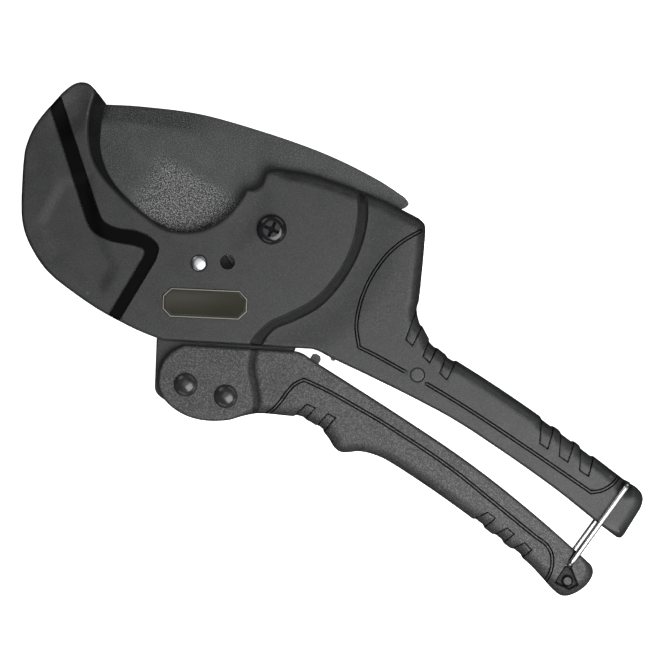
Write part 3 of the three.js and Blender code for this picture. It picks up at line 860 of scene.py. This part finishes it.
LOWER_LINE = [
    path(
        [(32.5, -60), (34.8, -55), (35.6, -51), (35.9, -47), (36.7, -43.2), (38.7, -39.9)],
        [(45, -39.1), (60, -38.4), (70, -38.2), (80, -38.4), (90, -38.7), (100, -39.3), (120, -41.8),
         (140, -44.5), (145.2, -45.1), (148, -46.7), (150.3, -49.8), (151.4, -53.5), (151.6, -58)],
    )
]
EAR_BAND = path([(17, -30), (18.4, -42.2), (20, -45.8), (24.3, -50.7), (28.6, -56.1), (31, -62)])
BAND_CREASES = (-1.9, -1.4, -0.9, 0.9, 1.4, 1.9)
BAIL_CHANNEL = dense([(154.2, -39), (157.9, -39), (156.5, -47.2), (155.1, -47.2)])
END_RECESS = dense([(154.7, -47.3), (156.9, -47.3), (162.4, -51.4), (160.6, -54.6), (154.6, -55.2)])
END_BUMP = (158.3, -52.2)
BUMP_EDGE = (1.4, 2.2)
BAND_DEPTH = 0.6
BAIL_CHANNEL_DEPTH = 2.2
END_RECESS_DEPTH = 2.6
BUMP_HEIGHT = 2.3


def lower_softness(loop):
    """1 along the underside of the grip and round its end, 0 round the ears and along the top."""
    x, y = loop.T
    nx, ny = normals_of(loop, True).T
    under = ramp(-ny, -0.1, 0.4) * ramp(x, 24, 33)
    end = ramp(x, 160, 163) * ramp(nx, -0.1, 0.3)
    return along_rim(loop, np.maximum(under, end))


def lower_handle():
    loops = slice_loops("lower_handle_casting", LOWER_SLICE)
    outer = notched(smooth_loop(loops[0]), LOWER_NOTCHES)
    holes = [smooth_loop(loop, 0.3) for loop in loops[1:]]

    lines = groove_creases(LOWER_LINE) + notch_creases(LOWER_NOTCHES)
    lines += [offset(EAR_BAND, step) for step in BAND_CREASES]
    for hollow in (BAIL_CHANNEL, END_RECESS):
        lines += rings_beside(hollow, (0.2, -0.1, -0.5))
    for radius in BUMP_EDGE:
        lines += rings_beside(circle(END_BUMP, radius, 32), [0])
    creases = [part for line in lines for part in clipped(line, outer)]
    spots = rim_spots(outer, (0.12, *RIM_ROWS)) + grid_spots(outer, GRID)
    plan, triangles = plan_triangles(
        [outer, *holes],
        creases,
        spots,
        lambda points: inside(points, outer) & ~in_any(points, holes),
    )

    band = BAND_DEPTH * (1 - ramp(nearest_on(plan, EAR_BAND)[0], 1.0, 1.75))
    channel = BAIL_CHANNEL_DEPTH * ramp(depth_in(plan, BAIL_CHANNEL), -0.2, 0.5)
    recess = END_RECESS_DEPTH * ramp(depth_in(plan, END_RECESS), -0.2, 0.6)
    bump = BUMP_HEIGHT * (1 - ramp(np.hypot(*(plan - END_BUMP).T), *BUMP_EDGE))
    recess = np.maximum(recess - bump, 0)
    front = GRIP_TOP - rim_drop(plan, outer, lower_softness(outer)) - band - np.maximum(channel, recess)
    front -= line_drop(plan, LOWER_LINE) + pocket_drop(plan, LOWER_NOTCHES)
    bm = double_faced(plan, triangles, front, -front)

    # The ears are open in the middle, and a small stop stands on the handle's root
    gap = dense([(-25, -95), (31, -95), (31, -25), (-25, -25)], 8)
    stop = dense([(36.6, -34), (40.3, -34), (40.3, -30.7), (39.4, -29.6), (37.6, -29.6), (36.6, -30.4)], 1)
    bm = combine(bm, slab([gap], -EAR_GAP_HALF, EAR_GAP_HALF), "DIFFERENCE")
    return combine(bm, slab([stop], -LUG_TOP, LUG_TOP), "UNION")


# ---------------------------------------------------------------- blade

BEVEL_WIDTH = 5.0
EDGE_HALF = 0.18
BLADE_GRID = 1.4
BLADE_CORNER = math.radians(25)
# The circle that the blade's back follows
BACK_CENTRE = (29.6, -179.9)
BACK_RADIUS = 215.1


def blade():
    loops = slice_loops("blade", 0)
    outer = smooth_loop(loops[0], 0.7, BLADE_CORNER)
    hole = smooth_loop(loops[1], 0.5)
    x, y = outer.T
    cutting = outer[(x < -15.5) & (y < 6.3) & (normals_of(outer, True)[:, 1] < 0.75)]
    spots = rim_spots(outer, (0.15, 0.35)) + grid_spots(outer, BLADE_GRID)
    ground = offset(cutting, -BEVEL_WIDTH)
    plan, triangles = plan_triangles(
        [outer, hole],
        clipped(ground, outer),
        spots,
        lambda points: inside(points, outer) & ~inside(points, hole),
    )
    from_cut = nearest_on(plan, cutting)[0]
    bevel = EDGE_HALF + (BLADE_HALF - EDGE_HALF) * np.clip(from_cut / BEVEL_WIDTH, 0, 1)
    rim = BLADE_HALF - round_edge(nearest_on(plan, outer, True)[0], 0.3, 0.3)
    front = np.minimum(bevel, np.where(from_cut < 0.5, BLADE_HALF, rim))
    return double_faced(plan, triangles, front, -front)


# ---------------------------------------------------------------- screw, nut, pins and rivets


def dome(radius, base, height, steps):
    """A dome's profile from its rim, (radius, base), up to its crown."""
    angles = [math.pi / 2 * step / steps for step in range(steps)]
    made = [(radius * math.cos(angle), base + height * math.sin(angle)) for angle in angles]
    return [*made, (0, base + height)]


def mirrored(profile):
    return [(radius, -z) for radius, z in reversed(profile)]


def pivot_screw():
    low, high = node_box("blade_pivot_screw")
    end, top = low[2], high[2]
    radius = (high[0] - low[0]) / 2
    crown = 2.4
    seat = HEAD_TOP + 0.02
    shoulder = HEAD_TOP + 0.6
    profile = [(0, end), (2.6, end), (3.0, end + 0.4), (3.0, seat), (radius - 0.15, seat),
               (radius, seat + 0.16), (radius, shoulder)]
    profile += [(crown + r, z) for r, z in dome(radius - crown, shoulder, top - shoulder, 12)[1:]]
    bm = turned([*profile, (0, top)], BLADE_AXIS)
    return combine(bm, slab(screw_cross(), top - 1.6, top + 2), "DIFFERENCE")


def screw_cross(grown=0.0):
    """The outlines of the cross recess: two arms and a round middle."""
    reach, half = 2.9 + grown, 0.6 + grown
    cross = [circle(BLADE_AXIS, 1.25 + grown, 24)]
    for turn in (0.12, 0.12 + math.pi / 2):
        along = np.array([math.cos(turn), math.sin(turn)])
        across = np.array([-along[1], along[0]])
        corners = [a * reach * along + b * half * across for a, b in ((-1, -1), (1, -1), (1, 1), (-1, 1))]
        cross.append(np.array(BLADE_AXIS) + np.array(corners))
    return cross


# The faces of the cross recess, where shade is painted dark
def in_recess(plan, height):
    return in_any(plan, screw_cross(0.02)) & (height > 0)


def pivot_nut():
    """A hexagon nut with its outer corners turned off and a plain hole."""
    bottom, top = (corner[2] for corner in node_box("blade_pivot_nut"))
    cone = turned([(0, bottom), (4.7, bottom), (5.9, bottom + 0.6), (5.9, top), (0, top)], BLADE_AXIS)
    nut = combine(slab([circle(BLADE_AXIS, 5.75, 6)], bottom, top), cone, "INTERSECT")
    return combine(nut, slab([circle(BLADE_AXIS, 3.15, 48)], bottom - 1, top + 1), "DIFFERENCE")


def lock_washer():
    """A spring washer: a ring with a slanting split."""
    low, high = node_box("blade_pivot_lock_washer")
    radius = (high[0] - low[0]) / 2
    bottom, top = low[2], high[2]
    inner = 3.25
    edge = 0.15
    profile = [(inner, bottom), (radius - edge, bottom), (radius, bottom + edge), (radius, top - edge),
               (radius - edge, top), (inner, top), (inner, bottom)]
    bm = turned(profile, BLADE_AXIS)
    bmesh.ops.remove_doubles(bm, verts=bm.verts, dist=FINE_WELD)
    split = dense(np.array(BLADE_AXIS) + [(1, -0.4), (8, -0.9), (8, 0.1), (1, 0.4)], 2)
    return combine(bm, slab([split], bottom - 1, top + 1), "DIFFERENCE")


def rivet(node):
    """A rivet with two domed heads."""
    low, high = node_box(node)
    radius = (high[0] - low[0]) / 2
    lift = 0.12
    shank = 2.5
    head = dome(radius, GRIP_TOP + lift, high[2] - GRIP_TOP - lift, 14)
    upper = [(shank, GRIP_TOP), (radius - lift, GRIP_TOP), *head]
    return turned([*mirrored(upper), *upper], node_axis(node))


def domed_pin(node, crown, edge=0.25):
    """A pin whose two ends are slightly domed."""
    low, high = node_box(node)
    radius = (high[0] - low[0]) / 2
    end = high[2] - crown
    upper = [(radius, end - edge), *dome(radius - edge * 0.3, end, crown, 10)]
    return turned([*mirrored(upper), *upper], node_axis(node))


# ---------------------------------------------------------------- bail and label

WIRE_RADIUS = 1.05
BAIL_BEND = 2.4
STUB_END = 5.0


def bail():
    """The latch wire, as a tube along two stubs, two legs and a crossbar with round bends."""
    low, high = node_box("bail_wire")
    hinge = np.array([*joint_axis("bail_swing"), 0])
    top = np.array([high[0] - WIRE_RADIUS, high[1] - WIRE_RADIUS, 0])
    leg = np.array([0, 0, high[2] - WIRE_RADIUS])
    stub = np.array([0, 0, STUB_END])
    corners = [hinge - stub, hinge - leg, top - leg, top + leg, hinge + leg, hinge + stub]
    route = [corners[0]]
    for before, corner, after in zip(corners, corners[1:], corners[2:]):
        towards = (before - corner) / np.linalg.norm(before - corner) * BAIL_BEND
        onwards = (after - corner) / np.linalg.norm(after - corner) * BAIL_BEND
        for step in range(9):
            t = step / 8
            route.append(corner + towards * (1 - t) ** 2 + onwards * t**2)
    route.append(corners[-1])
    return tube(np.array(route), WIRE_RADIUS, 20)


def tube(route, radius, sides):
    """A round tube along a route, drawn in a little at both ends."""
    bm = bmesh.new()
    side = np.array([1.0, 0.3, 0.2])
    rings = []
    for index, point in enumerate(route):
        along = route[min(index + 1, len(route) - 1)] - route[max(index - 1, 0)]
        along /= np.linalg.norm(along)
        side = side - along * (side @ along)
        side /= np.linalg.norm(side)
        other = np.cross(along, side)
        shrink = 0.8 if index in (0, len(route) - 1) else 1.0
        ring = []
        for k in range(sides):
            angle = 2 * math.pi * k / sides
            spot = point + radius * shrink * (math.cos(angle) * side + math.sin(angle) * other)
            ring.append(bm.verts.new(to_row(*spot)))
        rings.append(ring)
    return capped(bm, rings)


LABEL_HALF = (15.5, 5.4)
LABEL_CORNER = 3.0
LABEL_TILT = math.radians(29)

# The plate's steps from its foot to its field: inset from the outline and height over the foot
LABEL_STEPS = [(0, 0), (0, 0.25), (0.25, 0.6), (0.55, 0.6), (0.7, 0.42), (1.15, 0.42), (1.3, 0.6),
               (1.45, 0.52)]


def label_outline(inset):
    x, y = LABEL_HALF[0] - inset, LABEL_HALF[1] - inset
    cut = LABEL_CORNER - inset * 0.59
    corners = [(x - cut, -y), (x, -y + cut), (x, y - cut), (x - cut, y), (-x + cut, y), (-x, y - cut),
               (-x, -y + cut), (-x + cut, -y)]
    c, s = math.cos(LABEL_TILT), math.sin(LABEL_TILT)
    centre = np.array(node_axis("label_plate"))
    return centre + np.array(corners) @ np.array([[c, s], [-s, c]])


def label():
    """A blank plate: a raised rim, a fine groove, and a flat field with nothing on it."""
    low, _ = node_box("label_plate")
    bm = bmesh.new()
    rings = [
        [bm.verts.new(to_row(*p, low[2] + height)) for p in label_outline(inset)]
        for inset, height in LABEL_STEPS
    ]
    return capped(bm, rings)


# ---------------------------------------------------------------- materials


class Shader:
    """A principled material and short ways to add its nodes. Texture sizes are in millimetres."""

    def __init__(self, name, metallic=0.0, roughness=0.5, specular=0.5):
        self.material = bpy.data.materials.new(name)
        self.material.use_nodes = True
        self.tree = self.material.node_tree
        self.shader = self.tree.nodes["Principled BSDF"]
        self.shader.inputs["Metallic"].default_value = metallic
        self.shader.inputs["Roughness"].default_value = roughness
        self.shader.inputs["Specular IOR Level"].default_value = specular
        self.place = self.node("ShaderNodeTexCoord").outputs["Object"]

    def node(self, kind, **settings):
        made = self.tree.nodes.new(kind)
        for key, value in settings.items():
            setattr(made, key, value)
        return made

    def link(self, output, target):
        self.tree.links.new(output, target)

    def noise(self, size, detail=2.0, rough=0.5):
        made = self.node("ShaderNodeTexNoise")
        made.inputs["Scale"].default_value = 1 / (size * MM)
        made.inputs["Detail"].default_value = detail
        made.inputs["Roughness"].default_value = rough
        self.link(self.place, made.inputs["Vector"])
        return made.outputs["Fac"]

    def place_in_plan(self):
        """The tool coordinates x and y of a piece's own surface."""
        parts = self.node("ShaderNodeSeparateXYZ")
        self.link(self.place, parts.inputs[0])
        return tuple(self.spread(parts.outputs[k], ZERO[k], ZERO[k] + MM, 0, 1, False) for k in (0, 1))

    def distance_from(self, centre):
        """The distance in the plan from a centre in tool coordinates."""
        along, across = self.place_in_plan()
        x = self.maths("SUBTRACT", along, centre[0])
        y = self.maths("SUBTRACT", across, centre[1])
        square = self.maths("ADD", self.maths("MULTIPLY", x, x), self.maths("MULTIPLY", y, y))
        return self.maths("SQRT", square, 0)

    def spread(self, value, low, high, to_low, to_high, held=True):
        """A value's range from low to high mapped to another range."""
        made = self.node("ShaderNodeMapRange", clamp=held)
        self.link(value, made.inputs["Value"])
        for key, number in (("From Min", low), ("From Max", high), ("To Min", to_low), ("To Max", to_high)):
            made.inputs[key].default_value = number
        return made.outputs["Result"]

    def maths(self, operation, one, two):
        made = self.node("ShaderNodeMath", operation=operation)
        for value, socket in zip((one, two), made.inputs):
            if isinstance(value, (int, float)):
                socket.default_value = value
            else:
                self.link(value, socket)
        return made.outputs["Value"]

    def mix(self, share, one, two):
        made = self.node("ShaderNodeMix", data_type="RGBA")
        for value, socket in ((share, made.inputs[0]), (one, made.inputs[6]), (two, made.inputs[7])):
            if isinstance(value, tuple):
                socket.default_value = (*value, 1)
            elif isinstance(value, (int, float)):
                socket.default_value = value
            else:
                self.link(value, socket)
        return made.outputs[2]

    def bump(self, height, distance, strength, under=None):
        made = self.node("ShaderNodeBump")
        made.inputs["Distance"].default_value = distance * MM
        made.inputs["Strength"].default_value = strength
        self.link(height, made.inputs["Height"])
        if under is not None:
            self.link(under, made.inputs["Normal"])
        return made.outputs["Normal"]

    def edges(self, low, high):
        """1 on sharp outward edges, where highlights and wear are painted bright."""
        geometry = self.node("ShaderNodeNewGeometry")
        return self.spread(geometry.outputs["Pointiness"], low, high, 0, 1)

    def finish(self, color, roughness=None, normal=None):
        for name, value in (("Base Color", color), ("Roughness", roughness), ("Normal", normal)):
            if value is not None:
                self.link(value, self.shader.inputs[name])
        return self.material


def shaded(shade, *colors):
    """Several colours, all darker or lighter by one factor."""
    return (tuple(shade * c for c in color) for color in colors)


def powder_paint(name="die_cast_paint", shade=1.0, specular=0.4):
    """Satin near-black powder paint with a fine, even grain, faint clouds and painted highlights on its
    sharpest edges.
    """
    s = Shader(name, specular=specular)
    fine = s.noise(0.42, 3, 0.6)
    broad = s.noise(9, 3, 0.55)
    dark, light = shaded(shade, (0.016, 0.0165, 0.017), (0.027, 0.0275, 0.028))
    (crest,) = shaded(shade, (0.085, 0.086, 0.087))
    color = s.mix(s.spread(broad, 0.35, 0.65, 0, 1), dark, light)
    color = s.mix(s.spread(fine, 0.48, 0.75, 0, 0.6), color, crest)
    # Painted highlight: the sharpest edges are painted light, as if light caught them
    color = s.mix(s.edges(0.58, 0.68), color, crest)
    roughness = s.spread(broad, 0.3, 0.7, 0.40, 0.52)
    normal = s.bump(fine, 0.09, 0.8, s.bump(s.noise(2.6, 2), 0.10, 0.35))
    return s.finish(color, roughness, normal)


def hammered_paint(name="hammered_paint", shade=1.0, specular=0.5):
    """The lower handle's coarser paint: close dimples with lighter crests."""
    s = Shader(name, specular=specular)
    grain = s.noise(0.42, 2, 0.6)
    fine = s.noise(0.25, 2, 0.5)
    broad = s.noise(11, 3, 0.55)
    dark, light, crest = shaded(shade, (0.014, 0.014, 0.0145), (0.024, 0.024, 0.0245), (0.13, 0.13, 0.132))
    color = s.mix(s.spread(broad, 0.35, 0.65, 0, 1), dark, light)
    color = s.mix(s.spread(grain, 0.45, 0.72, 0, 0.8), color, crest)
    roughness = s.spread(grain, 0.3, 0.7, 0.56, 0.4)
    normal = s.bump(grain, 0.2, 0.8, s.bump(fine, 0.06, 0.5))
    return s.finish(color, roughness, normal)


def blade_coating():
    """Dark grey non-stick coating: a fine sparkle, coarser and lighter beside the cutting edge."""
    s = Shader("blade_coating", metallic=0.2, specular=0.4)
    fine = s.noise(0.42, 4, 0.75)
    coarse = s.noise(0.45, 3, 0.8)
    broad = s.noise(16, 4, 0.65)
    along, across = s.place_in_plan()
    ground = s.maths("MULTIPLY", s.spread(across, 5.0, 1.0, 0, 1), s.spread(along, -52, -44, 0, 1))
    from_back = s.maths("SUBTRACT", BACK_RADIUS, s.distance_from(BACK_CENTRE))
    near_back = s.maths("MULTIPLY", s.spread(from_back, 7.5, 5.5, 0, 1), s.spread(along, -38, -46, 0, 1))
    base = s.mix(s.spread(broad, 0.35, 0.65, 0, 1), (0.030, 0.031, 0.0315), (0.052, 0.053, 0.054))
    base = s.mix(near_back, base, (0.010, 0.0105, 0.011))
    base = s.mix(s.spread(fine, 0.50, 0.70, 0, 0.8), base, (0.20, 0.203, 0.206))
    dimmed = s.mix(s.maths("MULTIPLY", ground, 0.75), base, (0.012, 0.012, 0.013))
    rough_speck = s.maths("MULTIPLY", s.spread(coarse, 0.5, 0.6, 0, 1), ground)
    color = s.mix(rough_speck, dimmed, (0.36, 0.362, 0.365))
    roughness = s.spread(fine, 0.3, 0.7, 0.40, 0.6)
    return s.finish(color, roughness, s.bump(fine, 0.07, 0.8))


def mottled(name, dark, light, cloud, roughness, grain, metallic=0.0, specular=0.5, wear_and_glint=False):
    """Clouds that change the colour and the gloss over a fine grain, and where asked, sharp edges painted
    bright: partly wear, partly a painted highlight.

    cloud is a noise's size and detail. grain is another's, with the distance and strength of its bump.
    """
    s = Shader(name, metallic=metallic, specular=specular)
    broad = s.noise(*cloud)
    color = s.mix(broad, dark, light)
    if wear_and_glint:
        # Sharp edges painted bright: partly wear, partly painted highlight
        color = s.mix(s.edges(0.56, 0.68), color, (0.4, 0.4, 0.41))
    size, detail, distance, strength = grain
    return s.finish(
        color,
        s.spread(broad, 0.3, 0.7, *roughness),
        s.bump(s.noise(size, detail), distance, strength),
    )


def black_oxide(name, base, roughness, wear_and_glint):
    """Blackened steel."""
    light = tuple(3 * c for c in base)
    return mottled(name, base, light, (2.5, 3), roughness, (0.6, 3, 0.03, 0.4), metallic=0.2, wear_and_glint=wear_and_glint)


def bare_metal(name, base, roughness):
    """Polished, drawn or turned metal with fine scratches and faint stains."""
    dark = tuple(0.8 * c for c in base)
    return mottled(name, dark, base, (2.4, 3), roughness, (0.24, 3, 0.01, 0.4), metallic=1.0)


PAINT = powder_paint()
# Painted shade: a darker copy of the paint for the arc channel's floor and the lips of the mouth
ARC_AND_LIP_SHADE = powder_paint("arc_channel_and_lip_shade", 0.35, 0.15)
PIN_PAINT = powder_paint("pin_paint", 1.5)
# Painted shade: a much darker copy of the paint for the fine grooves, the pockets' borders and the screw's
# cross recess
LINE_SHADE = powder_paint("groove_shade", 0.2, 0.08)
HAMMERED = hammered_paint()
# Painted shade: a darker copy of the hammered paint for the ear band and the bail's seat
BAND_AND_SEAT_SHADE = hammered_paint("ear_band_and_bail_seat_shade", 0.4, 0.2)
COATING = blade_coating()
SCREW_BLACK = black_oxide("black_screw_steel", (0.008, 0.008, 0.009), (0.12, 0.24), True)
RIVET_BLACK = black_oxide("black_rivet_steel", (0.018, 0.018, 0.019), (0.14, 0.26), False)
PIN_METAL = bare_metal("bright_pin_steel", (0.62, 0.63, 0.64), (0.24, 0.36))
CHROME = bare_metal("chromed_wire", (0.7, 0.705, 0.71), (0.16, 0.3))
SPRING_METAL = bare_metal("spring_steel", (0.45, 0.46, 0.48), (0.25, 0.4))
BRONZE_METAL = bare_metal("bronze", (0.55, 0.38, 0.18), (0.3, 0.45))
LABEL_METAL = bare_metal("label_rim", (0.22, 0.22, 0.2), (0.3, 0.45))

# Flat black that fills the zig-zag channel
CHANNEL_BLACK = mottled("channel_black", (0.0008, 0.0008, 0.001), (0.0025, 0.0022, 0.0025), (6, 2),
                        (0.4, 0.55), (0.4, 2, 0.02, 0.4), specular=0.05)

# The dull hardened steel of both pawls
PAWL_METAL = mottled("pawl_steel", (0.04, 0.04, 0.042), (0.09, 0.09, 0.092), (1.5, 4),
                     (0.35, 0.5), (0.4, 3, 0.03, 0.5), metallic=0.7)

# The blank field of the label: a dark olive print, slightly glossy
LABEL_FACE = mottled("label_face", (0.022, 0.021, 0.014), (0.036, 0.034, 0.023), (7, 2),
                     (0.5, 0.6), (0.3, 2, 0.01, 0.3), specular=0.2)


# ---------------------------------------------------------------- pieces


def add(name, bm, body, materials, replaced):
    """A finished piece: smooth faces, with its creases marked, riding on its body."""
    for face in bm.faces:
        face.smooth = True
    for edge in bm.edges:
        if len(edge.link_faces) == 2:
            edge.smooth = edge.calc_face_angle(0) < CREASE_ANGLE
    piece = in_scene(name, bm)
    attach(piece, body)
    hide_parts(replaced)
    for material in materials:
        piece.data.materials.append(material)
    return piece


def level(height, low, high=math.inf):
    """Where faces lie between two distances from the middle plane, on the front and the rear."""
    away = np.abs(height)
    return (away > low) & (away < high)


ZIGZAG_FLOOR = offset(ZIGZAG_EDGE, -0.15, True)
ARC_FLOOR = offset(ARC, -0.35, True)


def in_zigzag(plan, height):
    return inside(plan, ZIGZAG_FLOOR) & level(height, HEAD_TOP - 3, HEAD_TOP - 0.1)


# Where shade is painted: the floor of the arc channel and the lips that slope towards the slot
def in_arc_or_lips_shade(plan, height):
    arc = inside(plan, ARC_FLOOR) & level(height, HEAD_TOP - 3)
    return arc | (in_mouth(plan) & ~inside(plan, ZIGZAG_FLOOR) & level(height, 1, HEAD_TOP - 1.5))


# The grip's fine grooves and pocket borders, where shade is painted
def in_grip_lines(plan, height):
    return fine_lines(plan, GRIP_LINES, UPPER_NOTCHES) & level(height, HEAD_TOP - 4)


# The ear band and the bail's seat, where shade is painted
def in_band_or_bail_seat_shade(plan, height):
    band = (nearest_on(plan, EAR_BAND)[0] < 1.2) & level(height, GRIP_TOP - 3)
    return band | (in_any(plan, [END_RECESS, BAIL_CHANNEL]) & level(height, GRIP_TOP - 3.5, GRIP_TOP - 0.7))


# The lower handle's fine grooves and pocket borders, where shade is painted
def in_lower_lines(plan, height):
    return fine_lines(plan, LOWER_LINE, LOWER_NOTCHES) & level(height, GRIP_TOP - 4)


def in_label_field(plan, height):
    """The field inside the plate's rim, and the floor of the rim's groove."""
    field, groove_edge, groove_end = (label_outline(inset) for inset in (1.3, 0.68, 1.2))
    in_groove = inside(plan, groove_edge) & ~inside(plan, groove_end)
    return (inside(plan, field) | in_groove) & (height > 0)


body_piece = add("body_shell", body_casting(), "body",
                 [PAINT, CHANNEL_BLACK, ARC_AND_LIP_SHADE, LINE_SHADE], "body_casting")
for index, zone in enumerate((in_zigzag, in_arc_or_lips_shade, in_grip_lines), 1):
    paint_faces(body_piece, index, zone)
lower_piece = add("lower_handle_shell", lower_handle(), "lower_handle",
                  [HAMMERED, BAND_AND_SEAT_SHADE, LINE_SHADE], "lower_handle_casting")
paint_faces(lower_piece, 1, in_band_or_bail_seat_shade)
paint_faces(lower_piece, 2, in_lower_lines)
add("blade_plate", blade(), "blade", [COATING], "blade")
screw = add("pivot_screw", pivot_screw(), "body", [SCREW_BLACK, LINE_SHADE],
            "blade_pivot_screw")
paint_faces(screw, 1, in_recess)
add("pivot_nut", pivot_nut(), "body", [SCREW_BLACK], "blade_pivot_nut")
add("pivot_lock_washer", lock_washer(), "body", [SPRING_METAL], "blade_pivot_lock_washer")
add("stop_pin", domed_pin("blade_stop_pin", 0.6), "body", [PIN_METAL], "blade_stop_pin")
add("cross_pin", domed_pin("spring_cross_pin", 0.1), "body", [PIN_PAINT],
    "spring_cross_pin")
for node in ("handle_pivot_rivet", "drive_pawl_rivet"):
    add(node + "_heads", rivet(node), "lower_handle", [RIVET_BLACK], node)
add("bail", bail(), "bail", [CHROME], "bail_wire")
label_piece = add("label", label(), "body", [LABEL_METAL, LABEL_FACE], "label_plate")
paint_faces(label_piece, 1, in_label_field)

KEPT_NODES = {
    "blade_pivot_sleeve": BRONZE_METAL,
    "blade_washer_front": BRONZE_METAL,
    "blade_washer_rear": BRONZE_METAL,
    "handle_pivot_bush": BRONZE_METAL,
    "drive_pawl_spacer_front": BRONZE_METAL,
    "drive_pawl_spacer_rear": BRONZE_METAL,
    "handle_return_spring": SPRING_METAL,
    "drive_pawl_spring": SPRING_METAL,
    "holding_pawl_spring": SPRING_METAL,
    "holding_pawl_pin": PIN_METAL,
    "holding_pawl": PAWL_METAL,
    "drive_pawl": PAWL_METAL,
}
for name, material in KEPT_NODES.items():
    node = NODES[name]
    node.data.materials.clear()
    node.data.materials.append(material)
    weld = node.modifiers.new("weld", "WELD")
    weld.merge_threshold = WELD
    eased(node, 0.1)


# ---------------------------------------------------------------- floor, light and camera

# The camera looks straight down on AIM, turned by ROLL, and its picture is FRAME_WIDTH metres wide there
CAMERA_DISTANCE = 1.5
FRAME_WIDTH = 0.2354
SENSOR_WIDTH = 36
AIM = np.array([34.9, -19.0, GRIP_TOP])
ROLL = math.radians(31.5)
STAGE_RADIUS = 2.6


def floor():
    """A pale light table with a pale wall all round. It glows, and gives the object no colour."""
    bm = bmesh.new()
    rings = [
        [bm.verts.new((x, y, height)) for x, y in circle((0, 0), radius, 48)]
        for radius, height in ((STAGE_RADIUS, STAGE_RADIUS), (STAGE_RADIUS, 0), (0.5, 0))
    ]
    walls(bm, rings)
    bm.faces.new(rings[-1])
    made = in_scene("floor", bm)
    s = Shader("pale_floor", roughness=0.8)
    s.shader.inputs["Emission Color"].default_value = (1, 1, 1, 1)
    s.shader.inputs["Emission Strength"].default_value = 1.2
    color = s.mix(s.noise(60, 2), (0.86, 0.86, 0.86), (0.9, 0.9, 0.9))
    made.data.materials.append(s.finish(color))
    made.visible_diffuse = False
    made.visible_glossy = False
    made.visible_shadow = False


def area_light(name, position, aim, size, power):
    data = bpy.data.lights.new(name, "AREA")
    data.shape = "RECTANGLE"
    data.size, data.size_y = size
    data.energy = power
    lamp = bpy.data.objects.new(name, data)
    lamp.location = position
    lamp.rotation_euler = (Vector(aim) - Vector(position)).to_track_quat("-Z", "Y").to_euler()
    lamp.visible_camera = False
    bpy.context.scene.collection.objects.link(lamp)


def studio():
    scene = bpy.context.scene
    world = bpy.data.worlds.new("studio")
    world.use_nodes = True
    background = world.node_tree.nodes["Background"].inputs
    background["Color"].default_value = (1, 1, 1, 1)
    background["Strength"].default_value = 0.035
    scene.world = world
    scene.view_settings.view_transform = "Standard"
    area_light("overhead", (0.21, -0.06, 0.42), (0.12, -0.02, 0), (0.34, 0.34), 2.4)
    area_light("above", (-0.05, 0.03, 0.8), (-0.05, 0.03, 0), (0.5, 0.5), 0.9)
    area_light("left_side", (-0.8, 0.3, 0.4), (0, 0, 0), (0.4, 0.5), 1.0)
    area_light("near_side", (0.1, -0.9, 0.35), (0, 0, 0), (0.8, 0.3), 1.2)
    area_light("handle_side", (0.9, 0.0, 0.3), (0, 0, 0), (0.5, 0.3), 0.8)
    area_light("far_side", (0.1, 0.9, 0.35), (0, 0, 0), (0.8, 0.3), 1.0)


def camera():
    data = bpy.data.cameras.new("camera")
    data.sensor_width = SENSOR_WIDTH
    data.lens = SENSOR_WIDTH * CAMERA_DISTANCE / FRAME_WIDTH
    data.clip_start = 0.05
    data.clip_end = 20
    made = bpy.data.objects.new("camera", data)
    made.location = Vector(to_row(*AIM)) + Vector((0, 0, CAMERA_DISTANCE))
    made.rotation_euler = (0, 0, ROLL)
    bpy.context.scene.collection.objects.link(made)
    bpy.context.scene.camera = made


floor()
studio()
camera()
